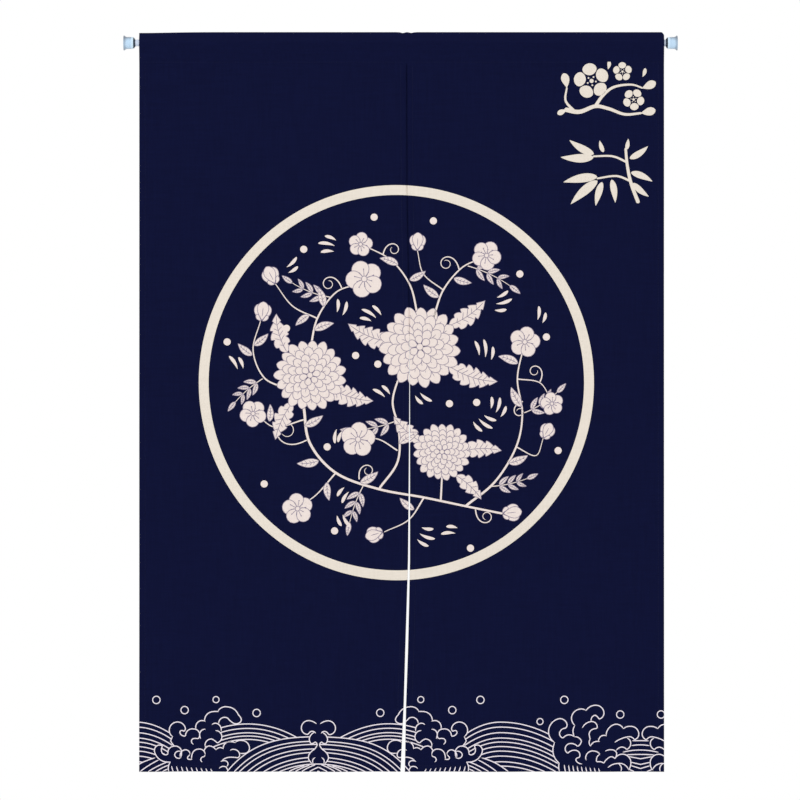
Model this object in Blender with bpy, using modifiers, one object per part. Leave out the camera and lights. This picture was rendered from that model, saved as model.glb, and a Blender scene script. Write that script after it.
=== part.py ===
"""A noren: a split canvas door curtain that hangs on its plain rod between two end caps.

Metres, +Z up. The origin is the middle of the left cap's flat outer face. +X runs along
the rod to the right cap, and the front of the cloth faces -Y.
"""

import math
from collections import namedtuple

import bmesh
import bpy
import numpy as np
from mathutils import Matrix

# Rod and what closes its ends
OVERALL_LENGTH = 0.897
ROD_DIAMETER = 0.0125
CAP_LENGTH = 0.016
CAP_DIAMETER = 0.0195
CAP_RIM_DIAMETER = 0.0245
CAP_RIM_THICKNESS = 0.0016
CAP_FLARE_LENGTH = 0.0032
CAP_SOCKET_DEPTH = 0.0085
PLUG_LENGTH = 0.0035
PLUG_DIAMETER = 0.0142
PLUG_TAPER = 0.0006
SPIGOT_DIAMETER = 0.0105
SMALL_BEVEL = 0.0004
GAP = 0.0003
ROUND_SIDES = 32

# Cloth
CLOTH_LEFT = 0.0253
CLOTH_WIDTH = 0.850
CLOTH_THICKNESS = 0.0012
HEM_THICKNESS = 0.0024
HEM_WIDTH = 0.011
HEM_STEP = 0.0015
TOP_ABOVE_ROD = 0.0176
FOOT_BELOW_ROD = 1.1803
CLOTH_HEIGHT = TOP_ABOVE_ROD + FOOT_BELOW_ROD
POCKET_DEPTH = 0.050
POCKET_EDGE = 0.003
FOLDS_GROW_OVER = 0.120
FOLD_INNER_RADIUS = 0.0004

# How finely the cloth is divided
PANEL_COLUMNS = 15
PUCKER_SPACING = 0.0035
BODY_ROWS = 27
ARC_STEPS = 3
Column = namedtuple("Column", "share hem")
Row = namedtuple("Row", "out height dip hem")

# Colours, as linear values, with roughness
CANVAS_NAVY = (0.0058, 0.0078, 0.034, 1.0)
ROD_WHITE = (0.72, 0.72, 0.76, 1.0)
CAP_ICE_BLUE = (0.60, 0.70, 0.76, 1.0)
PLUG_SLATE = (0.045, 0.055, 0.075, 1.0)

# Inner edges of the two panels: drop below the top, and distance from the cloth's left edge.
# They are sewn edge to edge down to the third row, and below it they part as the slit.
Slit = namedtuple("Slit", "drop left right")
SLIT = (
    Slit(0.000, 0.4329, 0.4329),
    Slit(0.255, 0.4338, 0.4338),
    Slit(0.495, 0.4379, 0.4379),
    Slit(0.579, 0.4375, 0.4394),
    Slit(0.749, 0.4358, 0.4393),
    Slit(0.919, 0.4332, 0.4376),
    Slit(1.089, 0.4283, 0.4328),
    Slit(1.198, 0.4229, 0.4304),
)

# Soft folds: where each crosses the foot, its half width, how far it stands forward there
# (a trough is negative), the drop at which it starts, and how far it leans across on the way.
Fold = namedtuple("Fold", "across half_width forward starts lean")
FOLDS = (
    Fold(0.020, 0.030, 0.0035, 0.30, 0.000),
    Fold(0.085, 0.045, -0.0040, 0.20, 0.010),
    Fold(0.165, 0.042, 0.0045, 0.15, 0.012),
    Fold(0.245, 0.045, -0.0045, 0.25, 0.006),
    Fold(0.320, 0.040, 0.0060, 0.35, -0.010),
    Fold(0.385, 0.030, -0.0065, 0.45, -0.014),
    Fold(0.432, 0.030, 0.0050, 0.50, -0.008),
    Fold(0.500, 0.038, -0.0040, 0.40, -0.008),
    Fold(0.575, 0.045, 0.0040, 0.20, -0.006),
    Fold(0.655, 0.045, -0.0035, 0.15, 0.000),
    Fold(0.735, 0.045, 0.0040, 0.30, 0.006),
    Fold(0.805, 0.035, -0.0035, 0.35, 0.004),
    Fold(0.850, 0.022, 0.0045, 0.60, 0.000),
)

# Small dips of the pressed top edge: the pucker beside the seam, and the softened corners
Dip = namedtuple("Dip", "across half_width depth")
DIPS = (
    Dip(0.000, 0.045, 0.0014),
    Dip(0.4268, 0.0028, 0.0015),
    Dip(0.4406, 0.0028, 0.0013),
    Dip(0.850, 0.0030, 0.0018),
)


def clear_scene():
    for old in list(bpy.data.objects):
        bpy.data.objects.remove(old, do_unlink=True)


def make_collection(name):
    collection = bpy.data.collections.new(name)
    bpy.context.scene.collection.children.link(collection)
    return collection


def make_material(name, colour, roughness):
    material = bpy.data.materials.new(name)
    material.use_nodes = True
    shader = material.node_tree.nodes["Principled BSDF"]
    shader.inputs["Base Color"].default_value = colour
    shader.inputs["Roughness"].default_value = roughness
    shader.inputs["Metallic"].default_value = 0.0
    return material


def add_object(name, mesh, material, collection):
    piece = bpy.data.objects.new(name, mesh)
    piece.data.materials.append(material)
    collection.objects.link(piece)
    return piece


def smooth_step(value, start, end):
    share = min(max((value - start) / (end - start), 0.0), 1.0)
    return share * share * (3.0 - 2.0 * share)


def bump(distance, half_width):
    return math.exp(-0.5 * (distance / half_width) ** 2)


def inner_edge(side, drop):
    """Distance of a panel's seam or slit edge from the cloth's left edge, at a drop."""
    drops = [row.drop for row in SLIT]
    if side == "left":
        return float(np.interp(drop, drops, [row.left for row in SLIT])) - GAP / 2
    return float(np.interp(drop, drops, [row.right for row in SLIT])) + GAP / 2


def forward_of(across, drop):
    """How far the hanging cloth stands forward of the flat, at a place on it."""
    below_pocket = smooth_step(drop, POCKET_DEPTH, POCKET_DEPTH + FOLDS_GROW_OVER)
    total = 0.0
    for fold in FOLDS:
        grown = smooth_step(drop, fold.starts, CLOTH_HEIGHT)
        centre = fold.across - fold.lean * (1.0 - drop / CLOTH_HEIGHT)
        total += fold.forward * grown * bump(across - centre, fold.half_width)
    return total * below_pocket


def top_dip(across):
    return sum(dip.depth * bump(across - dip.across, dip.half_width) for dip in DIPS)


def pocket_side():
    """Outer face of one side of the pocket, from the top of the fold to the stitch line.

    Points are (distance out from the rod's middle plane, height above its axis). The cloth
    comes off the pressed fold, touches the rod's flank and runs in to the stitch line.
    """
    fold_radius = FOLD_INNER_RADIUS + CLOTH_THICKNESS
    flank_radius = ROD_DIAMETER / 2 + GAP + CLOTH_THICKNESS
    stitch_out = GAP / 2 + CLOTH_THICKNESS
    fold_height = TOP_ABOVE_ROD - fold_radius
    stitch_height = TOP_ABOVE_ROD - POCKET_DEPTH
    roof_angle = math.asin((flank_radius - fold_radius) / fold_height)
    lower_angle = -math.asin((flank_radius - stitch_out) / -stitch_height)
    points = []
    for angle in np.linspace(math.pi / 2, roof_angle, ARC_STEPS + 1):
        points.append((fold_radius * math.cos(angle), fold_height + fold_radius * math.sin(angle)))
    for angle in np.linspace(roof_angle, lower_angle, ARC_STEPS + 1):
        points.append((flank_radius * math.cos(angle), flank_radius * math.sin(angle)))
    points.append((stitch_out, stitch_height))
    return points


def cloth_rows():
    """Rows of the cloth's outer face, from the foot up the front, over the top and down the back.

    A row has its distance out from the middle plane, its height, its share of the top edge's
    dip, and where it is of hem thickness.
    """
    side = pocket_side()
    flank_top = side[ARC_STEPS + 1][1]
    stitch_out, stitch_height = side[-1]
    hem_top = -FOOT_BELOW_ROD + HEM_WIDTH
    body = np.linspace(hem_top, stitch_height - 2 * POCKET_EDGE, BODY_ROWS + 1)
    rows = [Row(-stitch_out, -FOOT_BELOW_ROD, 0.0, "all"), Row(-stitch_out, hem_top, 0.0, "all")]
    rows.append(Row(-stitch_out, hem_top + HEM_STEP, 0.0, "edges"))
    rows += [Row(-stitch_out, height, 0.0, "edges") for height in body[1:-1]]
    rows.append(Row(-stitch_out, body[-1], 0.0, "none"))

    def dip_share(height):
        return min(max((height - flank_top) / (TOP_ABOVE_ROD - flank_top), 0.0), 1.0)

    rows += [Row(-out, height, dip_share(height), "none") for out, height in reversed(side)]
    rows += [Row(out, height, dip_share(height), "none") for out, height in side[1:]]
    rows.append(Row(stitch_out, stitch_height - POCKET_EDGE, 0.0, "none"))
    return rows


def panel_columns(side):
    """Columns of a panel from its left to its right edge: their shares of its width, and its hems.

    The seam edge has closer columns than the outer one, for the pucker of the top.
    """
    width = inner_edge("left", 0.0) if side == "left" else CLOTH_WIDTH - inner_edge("right", 0.0)
    hem = HEM_WIDTH / width
    step = HEM_STEP / width
    pucker = PUCKER_SPACING / width
    columns = [Column(0.0, True), Column(hem / 2, True), Column(hem, True), Column(hem + step, False)]
    field = np.linspace(hem, 1.0 - hem, PANEL_COLUMNS + 1)
    columns += [Column(float(share), False) for share in field[1:-1]]
    columns += [Column(1.0 - hem - step, False), Column(1.0 - hem, True)]
    columns += [Column(1.0 - 2 * pucker, True), Column(1.0 - pucker, True), Column(1.0, True)]
    if side == "right":
        columns = [Column(1.0 - column.share, column.hem) for column in reversed(columns)]
    return columns


def make_panel(side, material, collection):
    """One length of canvas: a flat grid, hung over the rod and given its thickness."""
    rows = cloth_rows()
    columns = panel_columns(side)
    mesh = bpy.data.meshes.new("panel_" + side)
    flat = bmesh.new()
    bmesh.ops.create_grid(flat, x_segments=len(columns) - 1, y_segments=len(rows) - 1, size=1.0)
    hem_points = []
    for index, point in enumerate(flat.verts):
        column = columns[round((point.co.x + 1.0) / 2.0 * (len(columns) - 1))]
        row = rows[round((point.co.y + 1.0) / 2.0 * (len(rows) - 1))]
        drop = TOP_ABOVE_ROD - row.height
        if side == "left":
            across = column.share * inner_edge("left", drop)
        else:
            start = inner_edge("right", drop)
            across = start + column.share * (CLOTH_WIDTH - start)
        forward = forward_of(across, drop) if row.out < 0 else 0.0
        point.co = (CLOTH_LEFT + across, row.out - forward, row.height - top_dip(across) * row.dip)
        if row.hem == "all" or (row.hem == "edges" and column.hem):
            hem_points.append(index)
    flat.to_mesh(mesh)
    flat.free()
    panel = add_object("panel_" + side, mesh, material, collection)
    thickness = panel.vertex_groups.new(name="hem_thickness")
    thickness.add(range(len(mesh.vertices)), CLOTH_THICKNESS / HEM_THICKNESS, "REPLACE")
    thickness.add(hem_points, 1.0, "REPLACE")
    solidify = panel.modifiers.new("cloth_thickness", "SOLIDIFY")
    solidify.thickness = HEM_THICKNESS
    solidify.offset = -1.0
    solidify.use_even_offset = True
    solidify.vertex_group = thickness.name
    for face in mesh.polygons:
        face.use_smooth = True
    return panel


def turned(name, profile, material, collection):
    """A turned piece from its half profile of (radius, height), outer side run downwards."""
    mesh = bpy.data.meshes.new(name)
    edges = [(index, index + 1) for index in range(len(profile) - 1)]
    mesh.from_pydata([(radius, 0.0, height) for radius, height in profile], edges, [])
    piece = add_object(name, mesh, material, collection)
    screw = piece.modifiers.new("turn", "SCREW")
    screw.axis = "Z"
    screw.angle = math.tau
    screw.screw_offset = 0.0
    screw.steps = ROUND_SIDES
    screw.render_steps = ROUND_SIDES
    screw.use_merge_vertices = True
    screw.merge_threshold = 0.0001
    return piece


def stand_along_rod(piece, end):
    """Turn a piece made along +Z to lie along the rod, from its left or its right end."""
    if end == "left":
        piece.matrix_world = Matrix.Rotation(math.pi / 2, 4, "Y")
    else:
        turn = Matrix.Rotation(-math.pi / 2, 4, "Y")
        piece.matrix_world = Matrix.Translation((OVERALL_LENGTH, 0.0, 0.0)) @ turn


def make_cap(end, material, collection):
    """Soft plastic cup over the rod's end, with a flared rim round its flat outer face."""
    radius = CAP_DIAMETER / 2
    rim = CAP_RIM_DIAMETER / 2
    socket = SPIGOT_DIAMETER / 2 + GAP
    socket_floor = CAP_LENGTH - CAP_SOCKET_DEPTH
    flare_middle = (CAP_RIM_THICKNESS + CAP_FLARE_LENGTH) / 2
    profile = [
        (0.0, socket_floor),
        (socket, socket_floor),
        (socket, CAP_LENGTH),
        (radius - 2 * SMALL_BEVEL, CAP_LENGTH),
        (radius, CAP_LENGTH - 2 * SMALL_BEVEL),
        (radius, CAP_FLARE_LENGTH),
        (radius + (rim - radius) * 0.3, flare_middle),
        (rim, CAP_RIM_THICKNESS),
        (rim, SMALL_BEVEL),
        (rim - SMALL_BEVEL, 0.0),
        (0.0, 0.0),
    ]
    cap = turned("cap_" + end, profile, material, collection)
    stand_along_rod(cap, end)


def make_plug(end, material, collection):
    """Dark plug at the rod's end, whose spigot goes into the cap."""
    start = CAP_LENGTH + GAP
    stop = CAP_LENGTH + PLUG_LENGTH
    spigot = SPIGOT_DIAMETER / 2
    spigot_end = CAP_LENGTH - CAP_SOCKET_DEPTH + GAP
    radius = PLUG_DIAMETER / 2
    profile = [
        (0.0, stop),
        (radius - PLUG_TAPER - SMALL_BEVEL, stop),
        (radius - PLUG_TAPER, stop - SMALL_BEVEL),
        (radius, start + SMALL_BEVEL),
        (radius - SMALL_BEVEL, start),
        (spigot, start),
        (spigot, spigot_end + SMALL_BEVEL),
        (spigot - SMALL_BEVEL, spigot_end),
        (0.0, spigot_end),
    ]
    plug = turned("plug_" + end, profile, material, collection)
    stand_along_rod(plug, end)


def make_rod(material, collection):
    """Plain round rod between the two plugs."""
    inset = CAP_LENGTH + PLUG_LENGTH + GAP
    shape = bmesh.new()
    bmesh.ops.create_cone(
        shape,
        cap_ends=True,
        segments=ROUND_SIDES,
        radius1=ROD_DIAMETER / 2,
        radius2=ROD_DIAMETER / 2,
        depth=OVERALL_LENGTH - 2 * inset,
    )
    mesh = bpy.data.meshes.new("rod")
    shape.to_mesh(mesh)
    shape.free()
    rod = add_object("rod", mesh, material, collection)
    rod.matrix_world = Matrix.Translation((OVERALL_LENGTH / 2, 0.0, 0.0)) @ Matrix.Rotation(math.pi / 2, 4, "Y")
    mesh.shade_smooth()
    mesh.set_sharp_from_angle(angle=math.radians(40))


def build():
    clear_scene()
    collection = make_collection("noren_curtain_on_rod")
    canvas = make_material("canvas_navy", CANVAS_NAVY, 0.85)
    enamel = make_material("rod_white_enamel", ROD_WHITE, 0.35)
    soft_plastic = make_material("cap_ice_blue_plastic", CAP_ICE_BLUE, 0.30)
    slate_plastic = make_material("plug_slate_plastic", PLUG_SLATE, 0.45)
    for side in ("left", "right"):
        make_panel(side, canvas, collection)
        make_cap(side, soft_plastic, collection)
        make_plug(side, slate_plastic, collection)
    make_rod(enamel, collection)


build()
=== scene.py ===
# A noren on its rod: navy canvas in two panels, printed in cream, hung from a plain white rod.
# Metres, in the frame of its solids: +X along the rod to the right, +Z up, the print faces -Y.
import math
from collections import namedtuple

import bmesh
import bpy
import numpy as np
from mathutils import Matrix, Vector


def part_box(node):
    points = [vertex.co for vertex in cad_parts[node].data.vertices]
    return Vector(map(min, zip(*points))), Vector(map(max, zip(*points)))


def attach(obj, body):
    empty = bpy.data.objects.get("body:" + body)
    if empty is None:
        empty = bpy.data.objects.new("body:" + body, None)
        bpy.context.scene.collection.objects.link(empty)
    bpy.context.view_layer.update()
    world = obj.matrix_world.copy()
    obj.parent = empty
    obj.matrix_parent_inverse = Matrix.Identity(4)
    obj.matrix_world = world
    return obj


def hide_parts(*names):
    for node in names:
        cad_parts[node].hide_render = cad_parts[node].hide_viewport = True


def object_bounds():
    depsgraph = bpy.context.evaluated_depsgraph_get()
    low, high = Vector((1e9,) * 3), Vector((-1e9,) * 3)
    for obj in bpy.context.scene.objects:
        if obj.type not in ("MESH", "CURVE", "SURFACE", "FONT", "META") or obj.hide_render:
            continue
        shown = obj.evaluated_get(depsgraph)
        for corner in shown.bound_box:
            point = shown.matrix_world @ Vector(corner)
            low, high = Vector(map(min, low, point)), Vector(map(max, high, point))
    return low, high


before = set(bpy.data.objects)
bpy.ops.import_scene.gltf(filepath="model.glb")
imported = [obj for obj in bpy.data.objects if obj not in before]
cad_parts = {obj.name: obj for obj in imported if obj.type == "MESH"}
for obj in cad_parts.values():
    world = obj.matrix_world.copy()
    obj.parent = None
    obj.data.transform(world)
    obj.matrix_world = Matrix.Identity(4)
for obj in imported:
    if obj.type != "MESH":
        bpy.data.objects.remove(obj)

solid_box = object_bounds()
bpy.ops.object.select_all(action="DESELECT")


# Rod
# A thin steel tube with white baked enamel. It lies hidden in the pocket. Its ends are drawn in
# a little to go into the dark plugs, and only they show between the cloth and the plugs.
ROD_RADIUS = 0.00625
ROD_END_RADIUS = 0.0055
ROD_END_LENGTH = 0.0065
ROD_IN_PLUG = 0.0010
TURN_STEPS = 64


def to_linear(hex_colour):
    """Linear RGBA of an sRGB hex colour such as 'EBE4D9'."""
    values = [int(hex_colour[start:start + 2], 16) / 255 for start in (0, 2, 4)]
    linear = [v / 12.92 if v <= 0.04045 else ((v + 0.055) / 1.055) ** 2.4 for v in values]
    return (*linear, 1.0)


def add_node(tree, kind, inputs, **settings):
    """Add a node. Its inputs take a value, or the output that is linked to them."""
    node = tree.nodes.new(kind)
    for name, value in settings.items():
        setattr(node, name, value)
    for socket, value in inputs.items():
        if isinstance(value, bpy.types.NodeSocket):
            tree.links.new(value, node.inputs[socket])
        else:
            node.inputs[socket].default_value = value
    return node


def start_material(name, **shader_values):
    """New material with its shader's own values set, and its node tree and shader."""
    material = bpy.data.materials.new(name)
    material.use_nodes = True
    shader = material.node_tree.nodes["Principled BSDF"]
    for socket, value in shader_values.items():
        shader.inputs[socket.replace("_", " ")].default_value = value
    return material, material.node_tree, shader


def dress(piece, material):
    """Give a finished piece its material and its body."""
    piece.data.materials.clear()
    piece.data.materials.append(material)
    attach(piece, "root")


def turn_piece(name, profile, end):
    """Spin a half profile of (distance from the end, radius) round the rod's axis."""
    bpy.ops.object.select_all(action="DESELECT")
    mesh = bpy.data.meshes.new(name)
    places = []
    for along, radius in profile:
        x = along if end == "left" else solid_box[1][0] - along
        places.append((x, 0.0, radius))
    mesh.from_pydata(places, [(i, i + 1) for i in range(len(places) - 1)], [])
    piece = bpy.data.objects.new(name, mesh)
    bpy.context.scene.collection.objects.link(piece)
    bpy.context.view_layer.objects.active = piece
    piece.select_set(True)
    bpy.ops.object.mode_set(mode="EDIT")
    bpy.ops.mesh.select_all(action="SELECT")
    bpy.ops.mesh.spin(steps=TURN_STEPS, angle=math.tau, center=(0.0, 0.0, 0.0), axis=(1.0, 0.0, 0.0))
    bpy.ops.mesh.select_all(action="SELECT")
    bpy.ops.mesh.remove_doubles(threshold=0.00002)
    bpy.ops.mesh.normals_make_consistent(inside=False)
    bpy.ops.object.mode_set(mode="OBJECT")
    bpy.ops.object.shade_smooth_by_angle(angle=math.radians(30))
    return piece


def white_enamel():
    # Baked enamel on a drawn tube: smooth and fairly glossy, with a faint orange peel
    material, tree, shader = start_material("baked_white_enamel", Roughness=0.28)
    place = add_node(tree, "ShaderNodeTexCoord", {})
    tone = add_node(tree, "ShaderNodeTexNoise", {"Vector": place.outputs["Object"], "Scale": 60.0})
    ramp = add_node(tree, "ShaderNodeValToRGB", {"Fac": tone.outputs["Fac"]})
    ramp.color_ramp.elements[0].color = to_linear("C6D3E8")
    ramp.color_ramp.elements[1].color = to_linear("D3DEF0")
    peel = add_node(tree, "ShaderNodeTexNoise", {"Vector": place.outputs["Object"], "Scale": 900.0})
    bump = add_node(
        tree,
        "ShaderNodeBump",
        {"Height": peel.outputs["Fac"], "Strength": 0.15, "Distance": 0.0001},
    )
    tree.links.new(ramp.outputs["Color"], shader.inputs["Base Color"])
    tree.links.new(bump.outputs["Normal"], shader.inputs["Normal"])
    return material


rod_low, rod_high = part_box("rod")
rod_start = rod_low[0] - ROD_IN_PLUG
rod_stop = rod_high[0] + ROD_IN_PLUG
rod_profile = [
    (rod_start, 0.0),
    (rod_start, ROD_END_RADIUS - 0.0004),
    (rod_start + 0.0004, ROD_END_RADIUS),
    (rod_start + ROD_END_LENGTH, ROD_END_RADIUS),
    (rod_start + ROD_END_LENGTH + 0.0020, ROD_RADIUS),
    (rod_stop - ROD_END_LENGTH - 0.0020, ROD_RADIUS),
    (rod_stop - ROD_END_LENGTH, ROD_END_RADIUS),
    (rod_stop - 0.0004, ROD_END_RADIUS),
    (rod_stop, ROD_END_RADIUS - 0.0004),
    (rod_stop, 0.0),
]
rod = turn_piece("rod_tube", rod_profile, "left")
dress(rod, white_enamel())
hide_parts("rod")


# Plugs
# Slate-grey moulded plugs between the rod's ends and the caps. Each is a short steep cone with a
# moulding line, and its spigot goes into the cap.
PLUG_START = 0.0163
PLUG_STOP = 0.0191
PLUG_RADIUS = 0.0092
PLUG_INNER_RADIUS = 0.0057
SPIGOT_RADIUS = 0.00525
SPIGOT_END = 0.0078


def slate_plastic():
    # Injection-moulded plastic with a fine spark-eroded grain
    material, tree, shader = start_material("moulded_slate_plastic", Roughness=0.42)
    place = add_node(tree, "ShaderNodeTexCoord", {})
    tone = add_node(tree, "ShaderNodeTexNoise", {"Vector": place.outputs["Object"], "Scale": 350.0})
    ramp = add_node(tree, "ShaderNodeValToRGB", {"Fac": tone.outputs["Fac"]})
    ramp.color_ramp.elements[0].color = to_linear("25313D")
    ramp.color_ramp.elements[1].color = to_linear("34424F")
    bump = add_node(
        tree,
        "ShaderNodeBump",
        {"Height": tone.outputs["Fac"], "Strength": 0.2, "Distance": 0.0001},
    )
    tree.links.new(ramp.outputs["Color"], shader.inputs["Base Color"])
    tree.links.new(bump.outputs["Normal"], shader.inputs["Normal"])
    return material


slate = slate_plastic()
plug_profile = [
    (SPIGOT_END, 0.0),
    (SPIGOT_END, SPIGOT_RADIUS - 0.0004),
    (SPIGOT_END + 0.0004, SPIGOT_RADIUS),
    (PLUG_START, SPIGOT_RADIUS),
    (PLUG_START, PLUG_RADIUS - 0.0003),
    (PLUG_START + 0.0003, PLUG_RADIUS),
    (PLUG_START + 0.0009, PLUG_RADIUS - 0.0007),
    (PLUG_START + 0.0010, PLUG_RADIUS - 0.0010),
    (PLUG_START + 0.0013, PLUG_RADIUS - 0.0013),
    (PLUG_STOP - 0.0003, PLUG_INNER_RADIUS + 0.0001),
    (PLUG_STOP, PLUG_INNER_RADIUS - 0.0002),
    (PLUG_STOP, 0.0),
]
for end in ("left", "right"):
    plug = turn_piece("plug_collar_" + end, plug_profile, end)
    dress(plug, slate)
    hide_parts("plug_" + end)


# End caps
# Soft ice-blue plastic cups, slightly see-through, with a thin flared rim that presses flat on
# the wall. They are moulded in one piece, with a shallow ring in the flat face.
CAP_LENGTH = 0.016
CAP_RADIUS = 0.00975
CAP_RIM_RADIUS = 0.01225
CAP_SOCKET_RADIUS = 0.00555
CAP_SOCKET_FLOOR = 0.0075


def ice_blue_plastic():
    # Soft vinyl: glossy and cloudy, with faint clouds in it. Its colour is greyer towards its outline as
    # seen and towards its flared rim, as painted shade; palest at its end beside the plug, as a painted
    # highlight; and paler underneath and darker on top, as painted light that comes in from above
    material, tree, shader = start_material("cloudy_ice_blue_vinyl", Roughness=0.22, IOR=1.5)
    place = add_node(tree, "ShaderNodeTexCoord", {})
    cloud = add_node(tree, "ShaderNodeTexNoise", {"Vector": place.outputs["Object"], "Scale": 130.0})
    edge = add_node(tree, "ShaderNodeLayerWeight", {"Blend": 0.5})
    parts = add_node(tree, "ShaderNodeSeparateXYZ", {"Vector": place.outputs["Object"]})
    middle = (solid_box[0][0] + solid_box[1][0]) / 2
    from_middle = add_node(
        tree,
        "ShaderNodeMath",
        {0: parts.outputs["X"], 1: middle},
        operation="SUBTRACT",
    )
    outward = add_node(tree, "ShaderNodeMath", {0: from_middle.outputs[0]}, operation="ABSOLUTE")
    to_rim = add_node(
        tree,
        "ShaderNodeMapRange",
        {"Value": outward.outputs[0], "From Min": middle - CAP_LENGTH, "From Max": middle},
    )
    rim = add_node(tree, "ShaderNodeMath", {0: to_rim.outputs[0], 1: 4.0}, operation="POWER")
    # Painted shade: the colour greys towards the outline as seen and towards the flared rim
    rim_and_outline_shade = add_node(
        tree,
        "ShaderNodeMath",
        {0: rim.outputs[0], 1: 0.5, 2: edge.outputs["Facing"]},
        operation="MULTIPLY_ADD",
    )
    depth = add_node(
        tree,
        "ShaderNodeMath",
        {0: cloud.outputs["Fac"], 1: 0.12, 2: rim_and_outline_shade.outputs[0]},
        operation="MULTIPLY_ADD",
    )
    # Painted light from above: the colour darkens with height on the cup and pales underneath
    clouds_and_painted_shading = add_node(
        tree,
        "ShaderNodeMath",
        {0: parts.outputs["Z"], 1: 0.16 / CAP_RADIUS, 2: depth.outputs[0]},
        operation="MULTIPLY_ADD",
    )
    ramp = add_node(tree, "ShaderNodeValToRGB", {"Fac": clouds_and_painted_shading.outputs[0]})
    ramp.color_ramp.elements[0].position = 0.25
    ramp.color_ramp.elements[0].color = to_linear("BEDAF2")
    ramp.color_ramp.elements[1].position = 0.95
    ramp.color_ramp.elements[1].color = to_linear("717E8E")
    bump = add_node(
        tree,
        "ShaderNodeBump",
        {"Height": cloud.outputs["Fac"], "Strength": 0.1, "Distance": 0.0002},
    )
    # Painted highlight: the colour is mixed towards pale ice blue at the cup's end beside the plug
    plug_end_highlight = add_node(
        tree,
        "ShaderNodeMapRange",
        {"Value": to_rim.outputs[0], "From Min": 0.26, "From Max": 0.16, "To Max": 0.8},
    )
    colour = add_node(
        tree,
        "ShaderNodeMix",
        {0: plug_end_highlight.outputs[0], 6: ramp.outputs["Color"], 7: to_linear("D3EAFA")},
        data_type="RGBA",
    )
    tree.links.new(colour.outputs[2], shader.inputs["Base Color"])
    tree.links.new(bump.outputs["Normal"], shader.inputs["Normal"])
    return material


ice_blue = ice_blue_plastic()
flare = []
for share in np.linspace(0.0, 1.0, 7):
    flare_radius = CAP_RADIUS + (CAP_RIM_RADIUS - CAP_RADIUS) * (1.0 - share) ** 1.6
    flare.append((0.0012 + 0.0040 * share, flare_radius))
cap_profile = [
    (0.0003, 0.0),
    (0.0003, 0.0070),
    (0.0006, 0.0074),
    (0.0006, 0.0080),
    (0.0003, 0.0084),
    (0.0, 0.0088),
    (0.0, CAP_RIM_RADIUS - 0.0005),
    (0.0003, CAP_RIM_RADIUS - 0.0001),
    (0.0008, CAP_RIM_RADIUS),
    *flare,
    (0.0100, CAP_RADIUS),
    (0.0103, CAP_RADIUS - 0.0002),
    (0.0109, CAP_RADIUS - 0.0002),
    (0.0112, CAP_RADIUS),
    (CAP_LENGTH - 0.0012, CAP_RADIUS),
    (CAP_LENGTH - 0.0004, CAP_RADIUS - 0.0004),
    (CAP_LENGTH, CAP_RADIUS - 0.0012),
    (CAP_LENGTH, CAP_SOCKET_RADIUS + 0.0003),
    (CAP_LENGTH - 0.0003, CAP_SOCKET_RADIUS),
    (CAP_SOCKET_FLOOR, CAP_SOCKET_RADIUS),
    (CAP_SOCKET_FLOOR, 0.0),
]
for end in ("left", "right"):
    cap = turn_piece("cap_cup_" + end, cap_profile, end)
    dress(cap, ice_blue)
    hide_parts("cap_" + end)


# Canvas panels
# Two lengths of heavy navy cotton canvas, hemmed on every edge and sewn to each other from the
# top down to the slit. Their tops are folded back over the rod and sewn down as its pocket.
CLOTH_LEFT = 0.0253
CLOTH_WIDTH = 0.850
TOP_ABOVE_ROD = 0.0176
FOOT_BELOW_ROD = 1.1803
CLOTH_HEIGHT = TOP_ABOVE_ROD + FOOT_BELOW_ROD
SOLID_THICKNESS = 0.0012
POCKET_DEPTH = 0.050
POCKET_EDGE = 0.003
SEAM_GAP = 0.0003
SEWN_GAP = 0.0
SLIT_START = 0.495
HEM_WIDTH = 0.011
FIELD_THICKNESS = 0.0007
POCKET_HEM_THICKNESS = 0.0012
HEM_THICKNESS = 0.0018
FOLDS_GROW_OVER = 0.120
FOLD_INNER_RADIUS = 0.0004
CLOTH_SPACING = 0.0055
ARC_STEPS = 7

# The seam and the slit below it: drop from the cloth's top, and each panel's edge there
Slit = namedtuple("Slit", "drop left right")
SLIT = (
    Slit(0.000, 0.4329, 0.4329),
    Slit(0.255, 0.4338, 0.4338),
    Slit(0.495, 0.4379, 0.4379),
    Slit(0.560, 0.4377, 0.4381),
    Slit(0.623, 0.4375, 0.4383),
    Slit(0.749, 0.4366, 0.4383),
    Slit(0.855, 0.4356, 0.4383),
    Slit(0.919, 0.4337, 0.4370),
    Slit(1.001, 0.4311, 0.4351),
    Slit(1.089, 0.4286, 0.4320),
    Slit(1.198, 0.4233, 0.4300),
)
# Soft folds that grow from a drop to the foot, each with its lean at the top
Fold = namedtuple("Fold", "across half_width forward starts lean")
FOLDS = (
    Fold(0.020, 0.030, 0.0035, 0.30, 0.000),
    Fold(0.085, 0.045, -0.0040, 0.20, 0.010),
    Fold(0.165, 0.042, 0.0045, 0.15, 0.012),
    Fold(0.245, 0.045, -0.0045, 0.25, 0.006),
    Fold(0.320, 0.040, 0.0060, 0.35, -0.010),
    Fold(0.385, 0.030, -0.0065, 0.45, -0.014),
    Fold(0.432, 0.030, 0.0050, 0.50, -0.008),
    Fold(0.500, 0.038, -0.0040, 0.40, -0.008),
    Fold(0.575, 0.045, 0.0040, 0.20, -0.006),
    Fold(0.655, 0.045, -0.0035, 0.15, 0.000),
    Fold(0.735, 0.045, 0.0040, 0.30, 0.006),
    Fold(0.805, 0.035, -0.0035, 0.35, 0.004),
    Fold(0.850, 0.022, 0.0045, 0.60, 0.000),
)
# Places where the top edge hangs lower: its corners, and each side of the seam
Dip = namedtuple("Dip", "across half_width depth")
DIPS = (
    Dip(0.000, 0.045, 0.0014),
    Dip(0.4268, 0.0028, 0.0015),
    Dip(0.4406, 0.0028, 0.0013),
    Dip(0.850, 0.0014, 0.0040),
)
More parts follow.
